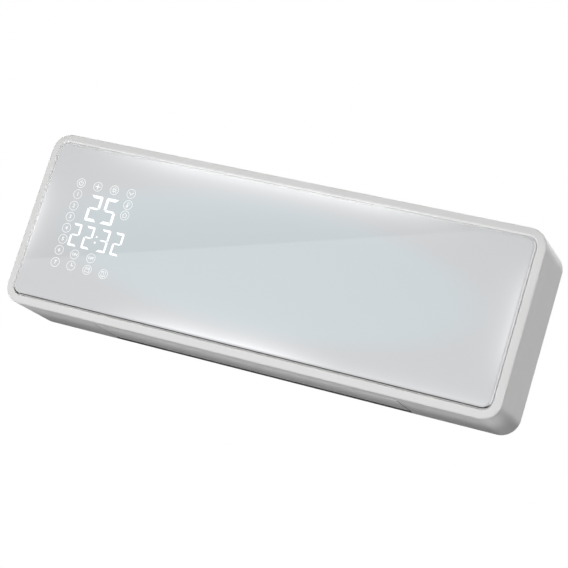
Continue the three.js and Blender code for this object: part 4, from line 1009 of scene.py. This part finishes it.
class HEATER_OT_display_signs(Step, bpy.types.Operator):
    """Digits and ringed signs that shine through the glass"""

    bl_idname = "heater.display_signs"
    bl_label = "Display signs"

    def plate(self, outline):
        """Thin raised plate from points in x and z."""
        mesh = bmesh.new()
        front = (SIGN_Y - SIGN_LIFT) * MM
        face = mesh.faces.new([mesh.verts.new((x * MM, front, z * MM)) for x, z in outline])
        mesh.normal_update()
        if face.normal.y > 0:
            face.normal_flip()
        made = bmesh.ops.extrude_face_region(mesh, geom=[face])
        back = [v for v in made["geom"] if isinstance(v, bmesh.types.BMVert)]
        bmesh.ops.translate(mesh, verts=back, vec=(0, (SIGN_LIFT + SIGN_SINK) * MM, 0))
        bmesh.ops.recalc_face_normals(mesh, faces=mesh.faces)
        return from_bmesh("sign", mesh)

    def line(self, points, width):
        """Square-ended line through several points."""
        made = []
        for a, b in zip(points, points[1:]):
            start, end = Vector(a), Vector(b)
            run = (end - start).normalized() * width / 2
            side = Vector((-run.y, run.x))
            start, end = start - run, end + run
            made.append(self.plate([tuple(p) for p in
                                    (start + side, end + side, end - side, start - side)]))
        return made

    def digit(self, number, x0, x1, z0, z1, width):
        """Seven-segment digit whose bars meet in mitred corners."""
        gap = width * BAR_GAP
        middle = (z0 + z1) / 2
        inner = middle + gap + width / 2
        upright = [(x0, z1 - gap), (x0, middle + gap), (x0 + width, inner),
                   (x0 + width, z1 - gap - width)]
        level = [(x0 + gap, z1), (x1 - gap, z1), (x1 - gap - width, z1 - width),
                 (x0 + gap + width, z1 - width)]
        left, right = x0 + width + gap, x1 - width - gap
        half = width / 2 - gap

        def turned(outline, across=False, over=False):
            return [(x0 + x1 - x if across else x, z0 + z1 - z if over else z) for x, z in outline]

        bars = {
            "a": level,
            "d": turned(level, over=True),
            "g": [(x0 + 2 * gap, middle), (left, middle + half), (right, middle + half),
                  (x1 - 2 * gap, middle), (right, middle - half), (left, middle - half)],
            "f": upright,
            "b": turned(upright, across=True),
            "e": turned(upright, over=True),
            "c": turned(upright, across=True, over=True),
        }
        return [self.plate(bars[key]) for key in SEGMENTS[number]]

    def ring(self, x, z, radius=RING_RADIUS, width=RING_WIDTH, start=0.0, sweep=360.0):
        """Flat ring, or part of one."""
        steps = max(8, int(36 * sweep / 360))
        outer, inner = [], []
        for i in range(steps + 1):
            turn = math.radians(start + sweep * i / steps)
            for points, reach in ((outer, radius), (inner, radius - width)):
                points.append((x + reach * math.cos(turn), z + reach * math.sin(turn)))
        if sweep < 360:
            return [self.plate(outer + inner[::-1])]
        half = steps // 2
        return [self.plate(outer[:half + 1] + inner[:half + 1][::-1]),
                self.plate(outer[half:] + inner[half:][::-1])]

    def words(self, text, x, z, size):
        """Plain lettering, centred."""
        deselect()
        bpy.ops.object.text_add(location=(x * MM, (SIGN_Y - LETTER_LIFT) * MM, z * MM),
                                rotation=(math.pi / 2, 0, 0))
        letters = bpy.context.object
        adjust(letters.data, body=text, size=size * MM, extrude=LETTER_HALF * MM,
               offset=LETTER_WEIGHT * size * MM, align_x="CENTER", align_y="CENTER",
               resolution_u=3)
        bpy.ops.object.convert(target="MESH")
        return settle(bpy.context.object, "letters")

    def figures(self, width):
        """Large and small digits, and the colon between the small ones."""
        made = []
        for span, stroke, group in ((LARGE_SPAN, width, LARGE_FIGURES),
                                    (SMALL_SPAN, width * SMALL_STROKE, SMALL_FIGURES)):
            for number, x0, x1 in group:
                made += self.digit(number, x0, x1, *span, stroke)
        left, right = COLON_X
        for z in COLON_Z:
            low, high = z - COLON_HALF, z + COLON_HALF
            made.append(self.plate([(left, low), (right, low), (right, high), (left, high)]))
        return made

    def build(self, sizes, colours):
        digits = gather(self.figures(sizes.stroke), "display_digits")
        fit(digits, "housing", lit_sign("digit light", DIGIT_LIGHT))

        made = []
        for (x, z), arcs, strokes in SIGNS.values():
            made += self.ring(x, z)
            for dx, dz, *form in arcs:
                made += self.ring(x + dx, z + dz, *form)
            for width, *points in strokes:
                made += self.line([(x + dx, z + dz) for dx, dz in points], width)
        numbers = tuple((NUMBER_X, z, str(i), NUMBER_SIZE) for i, z in enumerate(NUMBER_Z, 1))
        for x, z, text, size in RINGED_LETTERS + numbers:
            made += self.ring(x, z)
            made.append(self.words(text, x, z, size))
        fit(gather(made, "display_signs"), "housing", lit_sign("sign light", SIGN_LIGHT))


# ---------- stage

# Soft lamps: name, place, point aimed at, width, height, power in watts, spread in degrees.
# Places and sizes of the stage are in metres.
SOFTBOXES = (
    ("front", (-0.3, -3.2, -0.72), (0, 0, 0), 1.6, 0.48, 12.8, 70),
    ("right", (3.2, -1.0, -0.3), (0, 0, 0), 1.2, 0.9, 4.3, 70),
    ("left", (-3.2, -1.4, -0.1), (0, 0, 0), 1.6, 1.2, 2.6, 70),
    ("back", (0.4, 3.2, 0.4), (0, 0, 0), 1.8, 1.4, 6.0, 70),
    ("under", (0, 0.29, -0.86), (0, -0.084, -0.094), 0.74, 0.03, 0.034, 5.0),
)
SKY_TOWARDS = (0.0, 0.45, 1.0)
SKY_STRENGTH = 2.7
SKY_SOFTNESS = 24
AMBIENT = 0.03
FLOOR_Z = -1.0
FLOOR_SIZE = 24

# Sheets that only reflections show: name, corners, and the shade at each corner.
CARDS = (
    ("dark card",
     [(-3.6, -2.6, -0.125), (2.4, -2.6, 1.528), (2.4, -2.6, 1.70), (-3.6, -2.6, 0.045)],
     (0.0, 0.4, 1.0, 1.0)),
    ("low card",
     [(-7, 3, -0.99), (5, 3, -0.99), (5, 3, -0.1), (-7, 3, -0.1)],
     (0.03, 0.03, 0.03, 0.03)),
)

CAMERA_PLACE = (0.68533, -1.61670, -0.29969)
CAMERA_RIGHT = (0.89689064, 0.3331561, 0.29085079)
CAMERA_UP = (-0.205846, -0.26759903, 0.94128539)
CAMERA_BACK = (0.39142636, -0.90410053, -0.17142821)
FOCAL_LENGTH = 108.64
SENSOR_WIDTH = 36


class HEATER_OT_stage(Step, bpy.types.Operator):
    """Floor, reflected cards, soft lamps, white background and camera"""

    bl_idname = "heater.stage"
    bl_label = "Stage"

    def lamp(self, name, kind, aim, **settings):
        """Light that is seen neither by the camera nor in gloss."""
        data = bpy.data.lights.new(name, kind)
        adjust(data, **settings)
        lamp = stand(name, data)
        adjust(lamp, rotation_euler=aim.to_euler(), visible_camera=False, visible_glossy=False)
        return lamp

    def lamps(self):
        for name, place, target, width, height, power, spread in SOFTBOXES:
            aim = (Vector(target) - Vector(place)).to_track_quat("-Z", "Y")
            lamp = self.lamp(name, "AREA", aim, shape="RECTANGLE", size=width, size_y=height,
                             energy=power, spread=math.radians(spread))
            lamp.location = place
        self.lamp("sky", "SUN", Vector(SKY_TOWARDS).to_track_quat("Z", "Y"),
                  energy=SKY_STRENGTH, angle=math.radians(SKY_SOFTNESS))

    def background(self, scene):
        """White to the camera, in gloss and through glass, and dim as a light."""
        world = bpy.data.worlds.new("studio")
        scene.world = world
        world.use_nodes = True
        tree = world.node_tree
        back = tree.nodes["Background"]
        back.inputs["Color"].default_value = WHITE
        rays = tree.nodes.new("ShaderNodeLightPath").outputs
        seen = rays["Is Camera Ray"]
        for ray in ("Is Glossy Ray", "Is Transmission Ray"):
            seen = add_node(tree, "ShaderNodeMath", 0, {0: seen, 1: rays[ray]}, operation="MAXIMUM")
        strength = add_node(tree, "ShaderNodeMapRange", "Result",
                            {"Value": seen, "To Min": AMBIENT, "To Max": 1.0})
        tree.links.new(strength, back.inputs["Strength"])

    def card(self, name, corners, shades):
        mesh = bpy.data.meshes.new(name)
        mesh.from_pydata(corners, [], [range(len(corners))])
        shade_of = mesh.attributes.new("shade", "FLOAT", "POINT")
        for i, value in enumerate(shades):
            shade_of.data[i].value = value
        card = stand(name, mesh)
        paint = bpy.data.materials.new(name)
        paint.use_nodes = True
        tree = paint.node_tree
        tree.nodes.clear()
        tone = add_node(tree, "ShaderNodeAttribute", "Fac", {}, attribute_name="shade")
        glow = add_node(tree, "ShaderNodeEmission", "Emission", {"Strength": tone})
        out = tree.nodes.new("ShaderNodeOutputMaterial")
        tree.links.new(glow, out.inputs["Surface"])
        mesh.materials.append(paint)
        adjust(card, visible_camera=False, visible_diffuse=False, visible_shadow=False,
               visible_transmission=False)

    def floor(self, colour):
        deselect()
        bpy.ops.mesh.primitive_plane_add(size=FLOOR_SIZE, location=(0, 0, FLOOR_Z))
        floor = settle(bpy.context.object, "floor")
        finish = Finish("floor paper", colour, 0.9)
        finish.use_colour(finish.clouds(0.6, 0.995, 1.005))
        floor.data.materials.append(finish.material)
        floor.visible_diffuse = False

    def camera(self, scene):
        data = bpy.data.cameras.new("view")
        adjust(data, lens=FOCAL_LENGTH, sensor_width=SENSOR_WIDTH)
        camera = stand("view", data)
        axes = Matrix((CAMERA_RIGHT, CAMERA_UP, CAMERA_BACK))
        camera.matrix_world = Matrix.Translation(CAMERA_PLACE) @ axes.transposed().to_4x4()
        scene.camera = camera

    def build(self, sizes, colours):
        scene = bpy.context.scene
        self.floor(tuple(colours.background))
        self.background(scene)
        for values in CARDS:
            self.card(*values)
        self.lamps()
        self.camera(scene)
        scene.view_settings.view_transform = "Standard"


# ---------- panel and start

STEPS = (
    HEATER_OT_front_shell,
    HEATER_OT_glass_front,
    HEATER_OT_display_signs,
    HEATER_OT_rear_cover,
    HEATER_OT_outlet_flap,
    HEATER_OT_intake,
    HEATER_OT_heating_element,
    HEATER_OT_fan,
    HEATER_OT_electrics,
    HEATER_OT_mains_switch,
    HEATER_OT_stage,
)


class HEATER_PT_build(bpy.types.Panel):
    """Lists the sizes, the colours and the steps of the build"""

    bl_idname = "HEATER_PT_build"
    bl_label = "Fan heater"
    bl_space_type = "VIEW_3D"
    bl_region_type = "UI"
    bl_category = "Fan heater"

    def draw(self, context):
        layout = self.layout
        for group in (context.scene.heater_sizes, context.scene.heater_finishes):
            box = layout.box()
            for name in group.__annotations__:
                box.prop(group, name)
        column = layout.column(align=True)
        for step in STEPS:
            column.operator(step.bl_idname)


CLASSES = (HeaterSizes, HeaterFinishes, *STEPS, HEATER_PT_build)


def register():
    for item in CLASSES:
        bpy.utils.register_class(item)
    bpy.types.Scene.heater_sizes = PointerProperty(type=HeaterSizes)
    bpy.types.Scene.heater_finishes = PointerProperty(type=HeaterFinishes)


def unregister():
    del bpy.types.Scene.heater_finishes
    del bpy.types.Scene.heater_sizes
    for item in reversed(CLASSES):
        bpy.utils.unregister_class(item)


def main():
    register()
    for step in STEPS:
        group, name = step.bl_idname.split(".")
        getattr(getattr(bpy.ops, group), name)()
    deselect()


if __name__ == "__main__":
    main()
